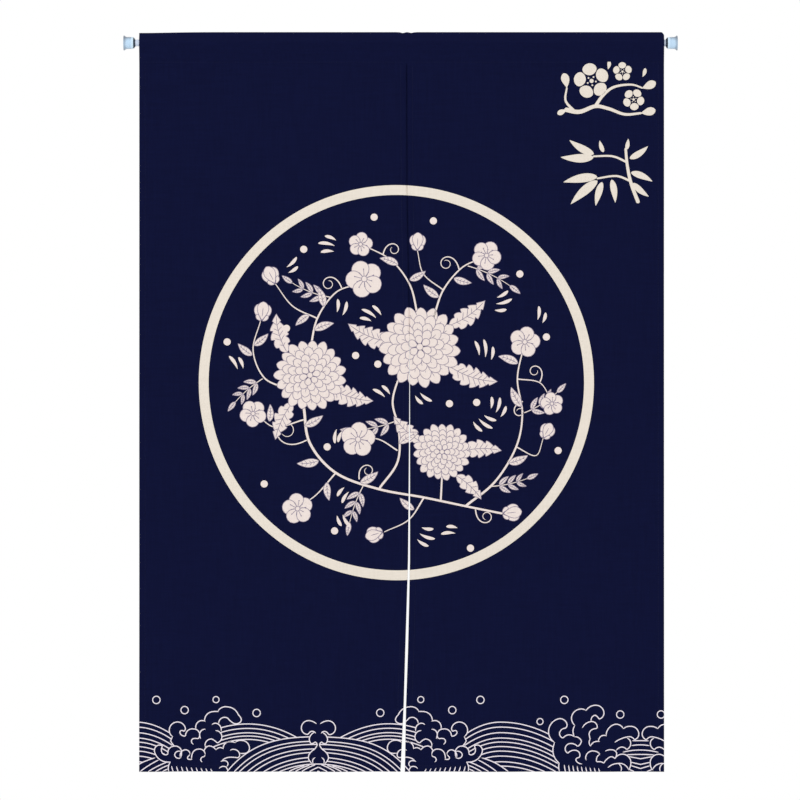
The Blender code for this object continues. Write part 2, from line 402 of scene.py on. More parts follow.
# Slow unevenness of the hanging cloth: wavelengths across and down, height and phase
Ripple = namedtuple("Ripple", "across down height phase")
RIPPLES = (
    Ripple(0.310, 0.520, 0.0006, 0.4),
    Ripple(-0.190, 0.410, 0.0004, 2.1),
    Ripple(0.127, 0.760, 0.0003, 4.0),
)
EDGE_ROUND = 0.0014
EDGE_ROUND_SHARE = 0.55
STITCH_INSET = 0.0095
STITCH_GROOVE = 0.00022
GROOVE_HALF_WIDTH = 0.0012
PUCKER_HEIGHT = 0.0005
PUCKER_REACH = 0.009
PUCKER_LENGTH = 0.0310
PUCKERS_STOP = 0.470
SEAM_VALLEY_DEPTH = 0.0018
SEAM_VALLEY_HALF_WIDTH = 0.0012
# The seam drags the right panel into troughs beside it: distance, half width and depth
SEAM_TROUGHS = ((0.0080, 0.0020, 0.0011), (0.0190, 0.0042, 0.0010))


def smooth_step(value, start, end):
    share = np.clip((value - start) / (end - start), 0.0, 1.0)
    return share * share * (3.0 - 2.0 * share)


def bell(distance, half_width):
    return np.exp(-0.5 * (distance / half_width) ** 2)


def inner_edge(side, drop):
    """Distance of a panel's seam or slit edge from the cloth's left edge, at a drop."""
    drops = [row.drop for row in SLIT]
    gap = np.where(np.asarray(drop) < SLIT_START, SEWN_GAP, SEAM_GAP)
    if side == "left":
        return np.interp(drop, drops, [row.left for row in SLIT]) - gap / 2
    return np.interp(drop, drops, [row.right for row in SLIT]) + gap / 2


def forward_of(across, drop):
    """How far the hanging cloth stands forward of the flat, by its folds and slow ripples."""
    below_pocket = smooth_step(drop, POCKET_DEPTH, POCKET_DEPTH + FOLDS_GROW_OVER)
    total = np.zeros_like(across)
    for fold in FOLDS:
        grown = smooth_step(drop, fold.starts, CLOTH_HEIGHT)
        centre = fold.across - fold.lean * (1.0 - drop / CLOTH_HEIGHT)
        total += fold.forward * grown * bell(across - centre, fold.half_width)
    for ripple in RIPPLES:
        turn = math.tau * (across / ripple.across + drop / ripple.down) + ripple.phase
        total += ripple.height * np.sin(turn)
    return total * below_pocket


def sewn_relief(side, across, drop, groove_depth=STITCH_GROOVE):
    """Small forward and backward steps of the front: round edges, stitch grooves and puckers."""
    edge = inner_edge(side, drop)
    from_inner = np.abs(edge - across)
    from_outer = across if side == "left" else CLOTH_WIDTH - across
    nearest = np.minimum(from_inner, from_outer)
    inside_round = np.clip(EDGE_ROUND - nearest, 0.0, EDGE_ROUND)
    rounding = EDGE_ROUND - np.sqrt(EDGE_ROUND ** 2 - inside_round ** 2)
    body = smooth_step(drop, POCKET_DEPTH, POCKET_DEPTH + 0.004)
    groove = bell(nearest - STITCH_INSET, GROOVE_HALF_WIDTH) * body
    foot = CLOTH_HEIGHT - drop
    groove = np.maximum(groove, bell(foot - STITCH_INSET, GROOVE_HALF_WIDTH) * body)
    along = np.sin(math.tau * drop / PUCKER_LENGTH + 1.7 * np.sin(drop / 0.047))
    sewn = smooth_step(-drop, -PUCKERS_STOP - 0.030, -PUCKERS_STOP) * body
    pucker = PUCKER_HEIGHT * along * np.exp(-from_inner / PUCKER_REACH) * sewn
    valley = SEAM_VALLEY_DEPTH * bell(from_inner, SEAM_VALLEY_HALF_WIDTH)
    if side == "right":
        for distance, half_width, depth in SEAM_TROUGHS:
            valley = valley + depth * bell(from_inner - distance, half_width)
    return pucker - valley * sewn - groove_depth * groove - rounding * EDGE_ROUND_SHARE


def top_dip(across):
    return sum(dip.depth * bell(across - dip.across, dip.half_width) for dip in DIPS)


def front_depth(side, across, drop, groove_depth=STITCH_GROOVE):
    """World Y of the front face of the cloth below its pocket."""
    relief = sewn_relief(side, across, drop, groove_depth)
    return -(SEAM_GAP / 2 + SOLID_THICKNESS) - forward_of(across, drop) - relief


def pocket_side():
    """Outer face of one side of the pocket, from the top of the fold to the stitch line."""
    fold_radius = FOLD_INNER_RADIUS + SOLID_THICKNESS
    flank_radius = ROD_RADIUS + SEAM_GAP + SOLID_THICKNESS
    stitch_out = SEAM_GAP / 2 + SOLID_THICKNESS
    fold_height = TOP_ABOVE_ROD - fold_radius
    stitch_height = TOP_ABOVE_ROD - POCKET_DEPTH
    roof_angle = math.asin((flank_radius - fold_radius) / fold_height)
    lower_angle = -math.asin((flank_radius - stitch_out) / -stitch_height)
    points = []
    for angle in np.linspace(math.pi / 2, roof_angle, ARC_STEPS + 1):
        points.append((fold_radius * math.cos(angle), fold_height + fold_radius * math.sin(angle)))
    arc = []
    for angle in np.linspace(roof_angle, lower_angle, 9):
        arc.append((flank_radius * math.cos(angle), flank_radius * math.sin(angle)))
    roof_top = points[-1]
    for share in (0.33, 0.67):
        points.append(tuple(np.array(roof_top) * (1 - share) + np.array(arc[0]) * share))
    points += arc
    lower_top = points[-1]
    stitch = (stitch_out, stitch_height)
    for share in (0.2, 0.4, 0.6, 0.8, 0.93, 1.0):
        sag = 0.0006 * math.sin(math.pi * share)
        place = np.array(lower_top) * (1 - share) + np.array(stitch) * share
        points.append((place[0] - sag, place[1]))
    return points


Row = namedtuple("Row", "out height dip part")
Column = namedtuple("Column", "share hem")


def cloth_rows():
    """Rows of the cloth from the foot up the front, over the top and down behind the rod."""
    side = pocket_side()
    flank_top = ROD_RADIUS
    stitch_out, stitch_height = side[-1]
    foot_rows = [0.0, 0.0004, 0.0010, 0.0020, 0.0045, 0.0075, 0.0090, 0.0098]
    foot_rows += [HEM_WIDTH, HEM_WIDTH + 0.0008]
    body_start = -FOOT_BELOW_ROD + foot_rows[-1]
    body_end = stitch_height - 0.0010
    count = round((body_end - body_start) / CLOTH_SPACING)
    rows = [Row(-stitch_out, -FOOT_BELOW_ROD + up, 0.0, "foot") for up in foot_rows]
    body_rows = np.linspace(body_start, body_end, count + 1)[1:]
    rows += [Row(-stitch_out, height, 0.0, "body") for height in body_rows]

    def share_of_dip(height):
        return min(max((height - flank_top) / (TOP_ABOVE_ROD - flank_top), 0.0), 1.0)

    rows += [Row(-out, height, share_of_dip(height), "pocket") for out, height in reversed(side)]
    rows += [Row(out, height, share_of_dip(height), "pocket") for out, height in side[1:]]
    rows.append(Row(stitch_out + 0.0001, stitch_height - POCKET_EDGE / 2, 0.0, "pocket"))
    rows.append(Row(stitch_out, stitch_height - POCKET_EDGE, 0.0, "pocket"))
    return rows


def panel_columns(width):
    """Shares of a panel's width at which its columns stand, close together at both edges."""
    near_edge = [0.0, 0.0003, 0.0008, 0.0014, 0.0028, 0.0045, 0.0065, 0.0085, 0.0095, 0.0103, HEM_WIDTH]
    step = HEM_WIDTH + 0.0008
    count = round((width - 2 * step) / CLOTH_SPACING)
    columns = [Column(place / width, True) for place in near_edge]
    columns += [Column(place / width, False) for place in np.linspace(step, width - step, count + 1)]
    columns += [Column(1.0 - place / width, True) for place in reversed(near_edge)]
    return columns


def hang_panel(side):
    """A flat grid hung over the rod as one panel, with its thickness and its thicker hems."""
    seam = float(inner_edge(side, 0.0))
    width = seam if side == "left" else CLOTH_WIDTH - seam
    rows = cloth_rows()
    columns = panel_columns(width)
    bpy.ops.object.select_all(action="DESELECT")
    bpy.ops.mesh.primitive_grid_add(
        x_subdivisions=len(columns) - 1,
        y_subdivisions=len(rows) - 1,
        size=2.0,
    )
    panel = bpy.context.object
    panel.name = "canvas_" + side
    flat = np.array([point.co for point in panel.data.vertices])
    column_index = np.rint((flat[:, 0] + 1.0) / 2.0 * (len(columns) - 1)).astype(int)
    row_index = np.rint((flat[:, 1] + 1.0) / 2.0 * (len(rows) - 1)).astype(int)
    share = np.array([column.share for column in columns])[column_index]
    hem_column = np.array([column.hem for column in columns])[column_index]
    out = np.array([row.out for row in rows])[row_index]
    height = np.array([row.height for row in rows])[row_index]
    dip = np.array([row.dip for row in rows])[row_index]
    part = np.array([row.part for row in rows])[row_index]
    drop = TOP_ABOVE_ROD - height
    edge = inner_edge(side, drop)
    across = share * edge if side == "left" else edge + share * (CLOTH_WIDTH - edge)
    in_front = part != "pocket"
    depth = np.where(in_front, front_depth(side, across, drop), out)
    height = height - top_dip(across) * dip
    places = np.column_stack([CLOTH_LEFT + across, depth, height])
    panel.data.vertices.foreach_set("co", places.ravel())
    groups = {
        "hem": ((part == "foot") | (hem_column & (part == "body")), HEM_THICKNESS),
        "pocket_hem": (hem_column & (part == "pocket"), POCKET_HEM_THICKNESS),
    }
    weights = panel.vertex_groups.new(name="thickness")
    weights.add(range(len(places)), FIELD_THICKNESS / HEM_THICKNESS, "REPLACE")
    for chosen, thickness in groups.values():
        weights.add([int(i) for i in np.flatnonzero(chosen)], thickness / HEM_THICKNESS, "REPLACE")
    solidify = panel.modifiers.new("cloth_thickness", "SOLIDIFY")
    solidify.thickness = HEM_THICKNESS
    solidify.offset = -1.0
    solidify.use_even_offset = True
    solidify.vertex_group = weights.name
    bpy.ops.object.modifier_apply(modifier=solidify.name)
    bpy.ops.object.transform_apply(location=True, rotation=True, scale=True)
    bpy.ops.object.shade_smooth_by_angle(angle=math.radians(50))
    return panel, width


def add_weave(tree, place, thread):
    """Height of a plain weave on X and Z, from thread spacing in metres."""
    parts = add_node(tree, "ShaderNodeSeparateXYZ", {"Vector": place})
    turns = {}
    for axis in ("X", "Z"):
        scaled = add_node(
            tree,
            "ShaderNodeMath",
            {0: parts.outputs[axis], 1: math.pi / thread},
            operation="MULTIPLY",
        )
        wave = add_node(tree, "ShaderNodeMath", {0: scaled.outputs[0]}, operation="SINE")
        turns[axis] = wave.outputs[0]
    crossing = add_node(tree, "ShaderNodeMath", {0: turns["X"], 1: turns["Z"]}, operation="MULTIPLY")
    over = add_node(
        tree,
        "ShaderNodeMapRange",
        {"Value": crossing.outputs[0], "From Min": -0.25, "From Max": 0.25},
    )
    warp = add_node(tree, "ShaderNodeMath", {0: turns["X"]}, operation="ABSOLUTE")
    weft = add_node(tree, "ShaderNodeMath", {0: turns["Z"]}, operation="ABSOLUTE")
    height = add_node(
        tree,
        "ShaderNodeMix",
        {"Factor": over.outputs[0], "A": weft.outputs[0], "B": warp.outputs[0]},
        data_type="FLOAT",
    )
    return height.outputs[0]


def add_slubs(tree, place):
    """Uneven yarn: streaks along the warp and the weft, from 0 to 1."""
    streaks = []
    for stretch in ((1.0, 1.0, 0.06), (0.06, 1.0, 1.0)):
        mapped = add_node(tree, "ShaderNodeMapping", {"Vector": place, "Scale": stretch})
        streaks.append(add_node(
            tree,
            "ShaderNodeTexNoise",
            {"Vector": mapped.outputs["Vector"], "Scale": 420.0, "Detail": 3.0},
        ).outputs["Fac"])
    total = add_node(tree, "ShaderNodeMath", {0: streaks[0], 1: streaks[1]}, operation="ADD")
    halved = add_node(tree, "ShaderNodeMath", {0: total.outputs[0], 1: 0.5}, operation="MULTIPLY")
    return halved.outputs[0]


WEAVE_THREAD = 0.0011


def canvas_material(name, dark, light, roughness):
    # Plain-woven cotton, so matt all over, with slubs in the yarn. The real thread is about
    # 0.5 mm wide, and it is drawn twice as coarse here, so that it shows at a step's distance.
    material, tree, shader = start_material(name, Roughness=roughness, Specular_IOR_Level=0.08)
    place = add_node(tree, "ShaderNodeTexCoord", {}).outputs["Object"]
    slubs = add_slubs(tree, place)
    weave = add_weave(tree, place, WEAVE_THREAD)
    tone = add_node(tree, "ShaderNodeMath", {0: slubs, 1: 0.75}, operation="MULTIPLY")
    shade = add_node(
        tree,
        "ShaderNodeMath",
        {0: weave, 1: 0.25, 2: tone.outputs[0]},
        operation="MULTIPLY_ADD",
    )
    ramp = add_node(tree, "ShaderNodeValToRGB", {"Fac": shade.outputs[0]})
    ramp.color_ramp.elements[0].position = 0.3
    ramp.color_ramp.elements[0].color = to_linear(dark)
    ramp.color_ramp.elements[1].position = 0.75
    ramp.color_ramp.elements[1].color = to_linear(light)
    relief = add_node(tree, "ShaderNodeMath", {0: weave, 1: slubs}, operation="ADD")
    bump = add_node(
        tree,
        "ShaderNodeBump",
        {"Height": relief.outputs[0], "Strength": 0.5, "Distance": 0.0003},
    )
    tree.links.new(ramp.outputs["Color"], shader.inputs["Base Color"])
    tree.links.new(bump.outputs["Normal"], shader.inputs["Normal"])
    return material


navy_canvas = canvas_material("navy_cotton_canvas", "060A2B", "0B1137", 0.9)
for side in ("left", "right"):
    panel, flat_width = hang_panel(side)
    dress(panel, navy_canvas)
    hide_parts("panel_" + side)


# Print ring
# A broad ring in cream pigment round the roundel. It is pulled through a screen onto the canvas,
# so it lies on the weave as a thin film and breaks at the seam and the slit.
PIXEL = 0.0016195
RING_CENTRE = ((396.35 - 123.6) * PIXEL, (42.9 - 382.65) * PIXEL)
RING_OUTER = 0.3200
RING_WIDTH = 0.0160
RING_POINTS = 240
INK_LIFT = 0.00025
# The film is cut into cells, and beside the hems at these insets, so that it follows the cloth
CELL = 0.006
EDGE_MARGIN = 0.00012
EDGE_CUTS = (0.0003, 0.0007, 0.0013, 0.0022, 0.0035, 0.0050, 0.0068, 0.0085, 0.0105)


def fill_outlines(name, outlines):
    """Flat mesh on X and Y of closed outlines; an outline inside another is a hole."""
    bpy.ops.object.select_all(action="DESELECT")
    curve = bpy.data.curves.new(name, "CURVE")
    curve.dimensions = "2D"
    curve.fill_mode = "BOTH"
    for outline in outlines:
        spline = curve.splines.new("POLY")
        spline.points.add(len(outline) - 1)
        for point, place in zip(spline.points, outline):
            point.co = (place[0], place[1], 0.0, 1.0)
        spline.use_cyclic_u = True
    drawing = bpy.data.objects.new(name, curve)
    bpy.context.scene.collection.objects.link(drawing)
    bpy.context.view_layer.objects.active = drawing
    drawing.select_set(True)
    bpy.ops.object.convert(target="MESH")
    return bpy.context.object


def cut_lines(shape, low, high, axis):
    """Cut a flat mesh along lines a cell apart, so that it can follow the cloth."""
    normal = (1.0, 0.0, 0.0) if axis == 0 else (0.0, 1.0, 0.0)
    place = math.ceil(low / CELL) * CELL
    while place < high:
        everything = shape.verts[:] + shape.edges[:] + shape.faces[:]
        centre = (place, 0.0, 0.0) if axis == 0 else (0.0, place, 0.0)
        bmesh.ops.bisect_plane(shape, geom=everything, dist=1e-6, plane_co=centre, plane_no=normal)
        place += CELL


def cut_along(shape, faces, start, stop):
    """Cut faces of a flat mesh along the line through two points."""
    parts = set(faces)
    for face in faces:
        parts.update(face.edges)
        parts.update(face.verts)
    normal = (start[1] - stop[1], stop[0] - start[0], 0.0)
    bmesh.ops.bisect_plane(shape, geom=list(parts), dist=1e-6, plane_co=(*start, 0.0), plane_no=normal)


def trim_to_panel(shape, side):
    """Cut a flat mesh on X and Y off at a panel's edges, with more cuts beside its round sides."""
    inward = 1.0 if side == "left" else -1.0
    outer = CLOTH_LEFT + EDGE_MARGIN if side == "left" else CLOTH_LEFT + CLOTH_WIDTH - EDGE_MARGIN
    foot = -FOOT_BELOW_ROD + EDGE_MARGIN
    cut_along(shape, shape.faces[:], (0.0, foot), (1.0, foot))
    for inset in (0.0, *EDGE_CUTS):
        place = outer + inward * inset
        cut_along(shape, shape.faces[:], (place, foot), (place, 0.0))
    heights = [TOP_ABOVE_ROD - row.drop for row in SLIT]
    for height in heights[1:-1]:
        cut_along(shape, shape.faces[:], (0.0, height), (1.0, height))
    for upper, lower in zip(heights, heights[1:]):
        start = CLOTH_LEFT + float(inner_edge(side, TOP_ABOVE_ROD - upper)) - inward * EDGE_MARGIN
        stop = CLOTH_LEFT + float(inner_edge(side, TOP_ABOVE_ROD - lower - 1e-6)) - inward * EDGE_MARGIN
        for inset in (0.0, *EDGE_CUTS):
            band = [face for face in shape.faces if lower < face.calc_center_median().y < upper]
            cut_along(shape, band, (start - inward * inset, upper), (stop - inward * inset, lower))
    outside = []
    for face in shape.faces:
        middle = face.calc_center_median()
        edge = CLOTH_LEFT + float(inner_edge(side, TOP_ABOVE_ROD - middle.y)) - inward * EDGE_MARGIN
        if (middle.x - edge) * inward > 0 or (middle.x - outer) * inward < 0 or middle.y < foot:
            outside.append(face)
    bmesh.ops.delete(shape, geom=outside, context="FACES")


def lay_print(drawing, name, lift, material):
    """Lay a flat drawing on the front of both panels, as one film of ink on each."""
    for side in ("left", "right"):
        shape = bmesh.new()
        shape.from_mesh(drawing.data)
        bmesh.ops.remove_doubles(shape, verts=shape.verts, dist=0.000004)
        trim_to_panel(shape, side)
        if not shape.faces:
            shape.free()
            continue
        xs = [point.co.x for point in shape.verts]
        ys = [point.co.y for point in shape.verts]
        cut_lines(shape, min(xs), max(xs), 0)
        cut_lines(shape, min(ys), max(ys), 1)
        loose = [point for point in shape.verts if not point.link_faces]
        bmesh.ops.delete(shape, geom=loose, context="VERTS")
        across = np.array([point.co.x - CLOTH_LEFT for point in shape.verts])
        height = np.array([point.co.y for point in shape.verts])
        levels = np.array([point.co.z for point in shape.verts])
        depth = front_depth(side, across, TOP_ABOVE_ROD - height, 0.0) - lift - levels
        for point, y, z in zip(shape.verts, depth, height):
            point.co = (point.co.x, y, z)
        shape.normal_update()
        bmesh.ops.reverse_faces(shape, faces=[face for face in shape.faces if face.normal.y > 0])
        mesh = bpy.data.meshes.new(f"{name}_{side}")
        shape.to_mesh(mesh)
        shape.free()
        film = bpy.data.objects.new(f"{name}_{side}", mesh)
        bpy.context.scene.collection.objects.link(film)
        mesh.shade_smooth()
        dress(film, material)
    bpy.data.objects.remove(drawing, do_unlink=True)


def circle(centre, radius, count):
    turns = np.linspace(0.0, math.tau, count, endpoint=False)
    return [(centre[0] + radius * math.cos(a), centre[1] + radius * math.sin(a)) for a in turns]


cream_ink = canvas_material("cream_pigment_on_canvas", "E1D7CA", "EDE4D8", 0.85)
ring_edges = [
    circle(RING_CENTRE, RING_OUTER, RING_POINTS),
    circle(RING_CENTRE, RING_OUTER - RING_WIDTH, RING_POINTS),
]
lay_print(fill_outlines("ring", ring_edges), "print_ring", INK_LIFT, cream_ink)


# Wave border
# Lines of pale pigment, 1.65 mm wide: layered swells, foam that curls over them, and rings of
# spray above. Its left part is drawn once and mirrored, and so is its right end.
WAVE_AXIS = 0.2902
RIGHT_AXIS = 0.8119
LINE_WIDTH = 0.00165
LINE_STEP = 0.0008
LINE_END = 0.0035
LINE_TIP = 0.4
SHARP_TURN = 0.7
LAYER_STEP = 0.000008
LAYER_COUNT = 9

ArcTo = namedtuple("ArcTo", "across up roundness")
Stroke = namedtuple("Stroke", "points width tapers")


def arc_to(start, end, roundness):
    """Points of an arc after its start; 1 is a half circle that turns right, -1 left."""
    chord = np.subtract(end, start)
    length = float(np.hypot(*chord))
    count = max(int(length * (1 + roundness ** 2) / LINE_STEP), 3)
    shares = np.arange(1, count + 1) / count
    if abs(roundness) < 0.02:
        return np.asarray(start) + shares[:, None] * chord
    side = np.array((-chord[1], chord[0])) / length
    turn = 4.0 * math.atan(roundness)
    radius = length / (2.0 * math.sin(turn / 2.0))
    centre = (np.asarray(start) + end) / 2.0 + side * (roundness * length / 2.0 - radius)
    spoke = np.asarray(start) - centre
    angles = -turn * shares
    turned_x = spoke[0] * np.cos(angles) - spoke[1] * np.sin(angles)
    turned_y = spoke[0] * np.sin(angles) + spoke[1] * np.cos(angles)
    return centre + np.column_stack([turned_x, turned_y])


def arc_chain(rows, origin=0.0, mirrored=False):
    """A drawn line through rows of millimetres, from an upright axis and the cloth's foot."""
    rows = [ArcTo(*row) for row in rows]
    points = [np.array([(rows[0].across, rows[0].up)]) * 0.001]
    for row in rows[1:]:
        points.append(arc_to(points[-1][-1], np.array((row.across, row.up)) * 0.001, row.roundness))
    chain = np.vstack(points)
    if mirrored:
        chain[:, 0] = -chain[:, 0]
    chain[:, 0] += origin
    return chain


def inside(points, outline):
    """Which points lie inside a closed outline."""
    x, y = points[:, 0][:, None], points[:, 1][:, None]
    x0, y0 = outline[:, 0], outline[:, 1]
    x1, y1 = np.roll(x0, -1), np.roll(y0, -1)
    rise = np.where(y1 == y0, 1e-12, y1 - y0)
    crossed = ((y0 > y) != (y1 > y)) & (x < (x1 - x0) * (y - y0) / rise + x0)
    return crossed.sum(axis=1) % 2 == 1


def hide_behind(strokes, covers):
    """Leave only the stretches of the strokes that no nearer form covers."""
    kept = []
    for stroke in strokes:
        hidden = np.zeros(len(stroke.points), dtype=bool)
        for cover in covers:
            hidden |= inside(stroke.points, cover)
        seen = np.flatnonzero(~hidden)
        if len(seen) == 0:
            continue
        for run in np.split(seen, np.flatnonzero(np.diff(seen) > 1) + 1):
            if len(run) < 3:
                continue
            first = stroke.tapers[0] and run[0] == 0
            last = stroke.tapers[1] and run[-1] == len(stroke.points) - 1
            kept.append(Stroke(stroke.points[run], stroke.width, (first, last)))
    return kept


def split_at_corners(stroke):
    """Parts of a stroke between its sharp corners."""
    steps = np.diff(stroke.points, axis=0)
    heading = np.arctan2(steps[:, 1], steps[:, 0])
    turn = np.abs((np.diff(heading) + math.pi) % math.tau - math.pi)
    corners = [0, *(np.flatnonzero(turn > SHARP_TURN) + 1), len(stroke.points) - 1]
    parts = []
    for start, stop in zip(corners, corners[1:]):
        tapers = (stroke.tapers[0] and start == 0, stroke.tapers[1] and stop == len(stroke.points) - 1)
        width = stroke.width[start:stop + 1] if np.ndim(stroke.width) else stroke.width
        parts.append(Stroke(stroke.points[start:stop + 1], width, tapers))
    return parts


def stroke_stations(stroke):
    """Points along a stroke, closer at its round ends, with the share of its width at each."""
    lengths = np.hypot(*np.diff(stroke.points, axis=0).T)
    run = np.concatenate([[0.0], np.cumsum(lengths)])
    total = run[-1]
    near_end = np.array([0.0, 0.04, 0.15, 0.32, 0.5]) * min(float(np.max(stroke.width)), total * 0.9)
    step = LINE_STEP if near_end[-1] > LINE_STEP else 1.4 * LINE_STEP
    middle = np.arange(near_end[-1] + step, total - near_end[-1] - step / 2, step)
    stations = np.concatenate([near_end, middle, total - near_end[::-1]])
    half = max(float(near_end[-1]), 1e-6)
    shares = np.ones(len(stations))
    for from_end, tapered in ((stations, stroke.tapers[0]), (total - stations, stroke.tapers[1])):
        closing = np.clip(1.0 - from_end / half, 0.0, 1.0)
        shares *= np.maximum(np.sqrt(1.0 - closing ** 2), 0.12)
        if tapered:
            shares *= LINE_TIP + (1.0 - LINE_TIP) * np.clip(from_end / LINE_END, 0.0, 1.0)
    if np.ndim(stroke.width):
        shares *= np.interp(stations, run, stroke.width) / float(np.max(stroke.width))
    x = np.interp(stations, run, stroke.points[:, 0])
    y = np.interp(stations, run, stroke.points[:, 1])
    return np.column_stack([x, y]), shares


def draw_lines(name, strokes):
    """Flat mesh on X and Y of strokes, each a ribbon of its own width."""
    bpy.ops.object.select_all(action="DESELECT")
    nib_curve = bpy.data.curves.new(name + "_nib", "CURVE")
    nib_line = nib_curve.splines.new("POLY")
    nib_line.points.add(1)
    nib_line.points[0].co = (-0.5, 0.0, 0.0, 1.0)
    nib_line.points[1].co = (0.5, 0.0, 0.0, 1.0)
    nib = bpy.data.objects.new(name + "_nib", nib_curve)
    bpy.context.scene.collection.objects.link(nib)
    curve = bpy.data.curves.new(name, "CURVE")
    curve.dimensions = "3D"
    curve.twist_mode = "Z_UP"
    curve.bevel_mode = "OBJECT"
    curve.bevel_object = nib
    parts = [part for stroke in strokes for part in split_at_corners(stroke)]
    for index, part in enumerate(parts):
        places, shares = stroke_stations(part)
        level = LAYER_STEP * (index % LAYER_COUNT)
        spline = curve.splines.new("POLY")
        spline.points.add(len(places) - 1)
        for point, place, share in zip(spline.points, places, shares):
            point.co = (place[0], place[1], level, 1.0)
            point.radius = share * float(np.max(part.width))
    drawing = bpy.data.objects.new(name, curve)
    bpy.context.scene.collection.objects.link(drawing)
    bpy.context.view_layer.objects.active = drawing
    drawing.select_set(True)
    bpy.ops.object.convert(target="MESH")
    bpy.data.objects.remove(nib, do_unlink=True)
    return bpy.context.object


def swell(crest, spacings, right_side, left_side, reach, nested=True):
    """Lines of one layered swell, nested inside each other or each straight below the last.

    Each side is the square and fourth-power terms of its drop, by the distance from the middle.
    """
    across = np.arange(-reach, reach + LINE_STEP, LINE_STEP)
    square = np.where(across > 0, right_side[0], left_side[0])
    fourth = np.where(across > 0, right_side[1], left_side[1])
    outer = np.column_stack([across, crest - square * across ** 2 - fourth * across ** 4])
    slope = np.gradient(outer[:, 1], outer[:, 0]) if nested else np.zeros_like(across)
    inward = np.column_stack([slope, -np.ones_like(slope)]) / np.hypot(slope, 1.0)[:, None]
    return [outer + inward * spacing for spacing in spacings]


def lines_of(outlines, origin, mirrored=False, tapers=(False, False)):
    strokes = []
    for outline in outlines:
        points = outline.copy()
        if mirrored:
            points[:, 0] = -points[:, 0]
        points[:, 0] += origin
        strokes.append(Stroke(points, LINE_WIDTH, tapers))
    return strokes


# Foam at the left, in millimetres from the cloth's left edge and up from its foot
LEFT_FOAM_OUTLINE = (
    ((57.9, 41, 0), (50.9, 50, 0.15), (54.3, 56.8, 0.1)),
    ((54.3, 56.8, 0), (48.7, 68.5, 0.3), (74.6, 70, 0.86), (72.2, 65, 0.25), (67.4, 66.3, -0.35),
     (66.4, 61.6, -0.5), (74.9, 57.7, -0.35), (88, 68.9, 0.5), (97.5, 60.5, 0.42)),
    ((91.9, 68.8, 0), (107.2, 81.2, 0.7)),
    ((105.8, 81.6, 0), (117, 96.9, 0.38), (128.8, 97.2, 0.1)),
    ((127.4, 97.8, 0), (143.1, 105.1, 0.34), (160.6, 92.5, 0.3), (165.4, 85.5, 0.12),
     (161.5, 79, 0.35), (154, 78.2, 0.2), (143.8, 86.6, 0.12), (128.7, 77.9, -0.62)),
    ((117.6, 76, 0), (123.4, 78.6, 0.2), (132.8, 69.5, 0.36), (132.6, 65.6, 0.08)),
    ((123.2, 66.5, 0), (133.9, 57.5, 0.42), (126.1, 46.6, 0.36), (117.4, 52.9, -0.12), (106.7, 40.2, -0.5)),
)
LEFT_FOAM_FOOT = (
    ((50.7, 16, 0), (24.7, 33.5, 0.41), (31, 43.2, 0.35), (37.8, 41.4, 0.25), (36, 34.3, -0.2),
     (43.4, 27.4, -0.42), (46.6, 29.3, -0.25), (54.5, 40.9, 0.42), (68.4, 33, 0.45), (67.6, 23.2, 0.06)),
    ((66.4, 23.2, 0), (73, 35, 0.42), (82, 28, 0.5)),
    ((84.6, 19.8, 0), (86.2, 30, 0.12), (96.5, 36.4, 0.3), (106.7, 27.7, 0.45)),
    ((104.8, 32, 0), (112.5, 41.6, 0.32), (124.2, 35.2, 0.28)),
    ((124.2, 35.2, 0), (136.6, 37.1, 0.46)),
    ((136.3, 36.8, 0), (143.5, 48.3, 0.38), (155.8, 47.2, 0.16)),
    ((155.6, 47.7, 0), (166, 50.9, 0.22), (178.6, 38, 0.42), (173.4, 30.4, 0.3), (162.8, 30.3, 0.12)),
    ((147.1, 34.7, 0), (154, 36.3, 0.2), (162.6, 28.4, 0.36), (159.6, 22.8, 0.4), (150.5, 23.6, -0.04),
     (134.4, 18.6, -0.2)),
    ((131.9, 16.4, 0), (139.6, 17.8, 0.2), (143.9, 12.4, 0.36), (141.5, 8.4, 0.16)),
    ((129.3, 5.1, 0), (134.6, 8.6, 0.16), (140.6, 7.8, 0.16), (144.2, 0.2, 0.1)),
    ((50.7, 16, 0), (47.9, 0.2, -0.26)),
)
LEFT_FOAM_CURLS = (
    ((97.5, 60.5, 0), (95.1, 53.2, 0.3), (88.4, 53.5, -0.1), (84.4, 48.6, -0.42), (87.9, 44, -0.26)),
    ((107.4, 68.7, 0), (97.7, 60.5, -0.42), (99.6, 53.2, -0.14)),
    ((67.8, 32.2, 0), (57.2, 27.7, -0.5), (67.8, 23, -0.62)),
    ((82, 28, 0), (78.7, 24.2, 0.1), (79.6, 19.8, -0.5), (85.8, 19.8, -0.04)),
    ((106.7, 27.7, 0), (104.6, 24, 0.16), (99.4, 18.9, -0.45), (102.1, 15.5, -0.28)),
)
LEFT_FOAM_CORES = (
    ((54.3, 56.8), (74.9, 57.7), (91.9, 68.8), (106.5, 81.4), (128, 97.4), (128.7, 77.9), (132.6, 65.6),
     (126.1, 46.6), (106.7, 40.2), (100, 22), (60, 25), (54.5, 38)),
    ((50.7, 16), (46.6, 29.3), (67.6, 32), (84, 30), (104.8, 32), (124.2, 35.2), (136.3, 36.8),
     (155.6, 47.7), (162.8, 30.3), (150.5, 23.6), (134.4, 18.6), (141.5, 8.4), (144.2, 0), (47.9, 0)),
)
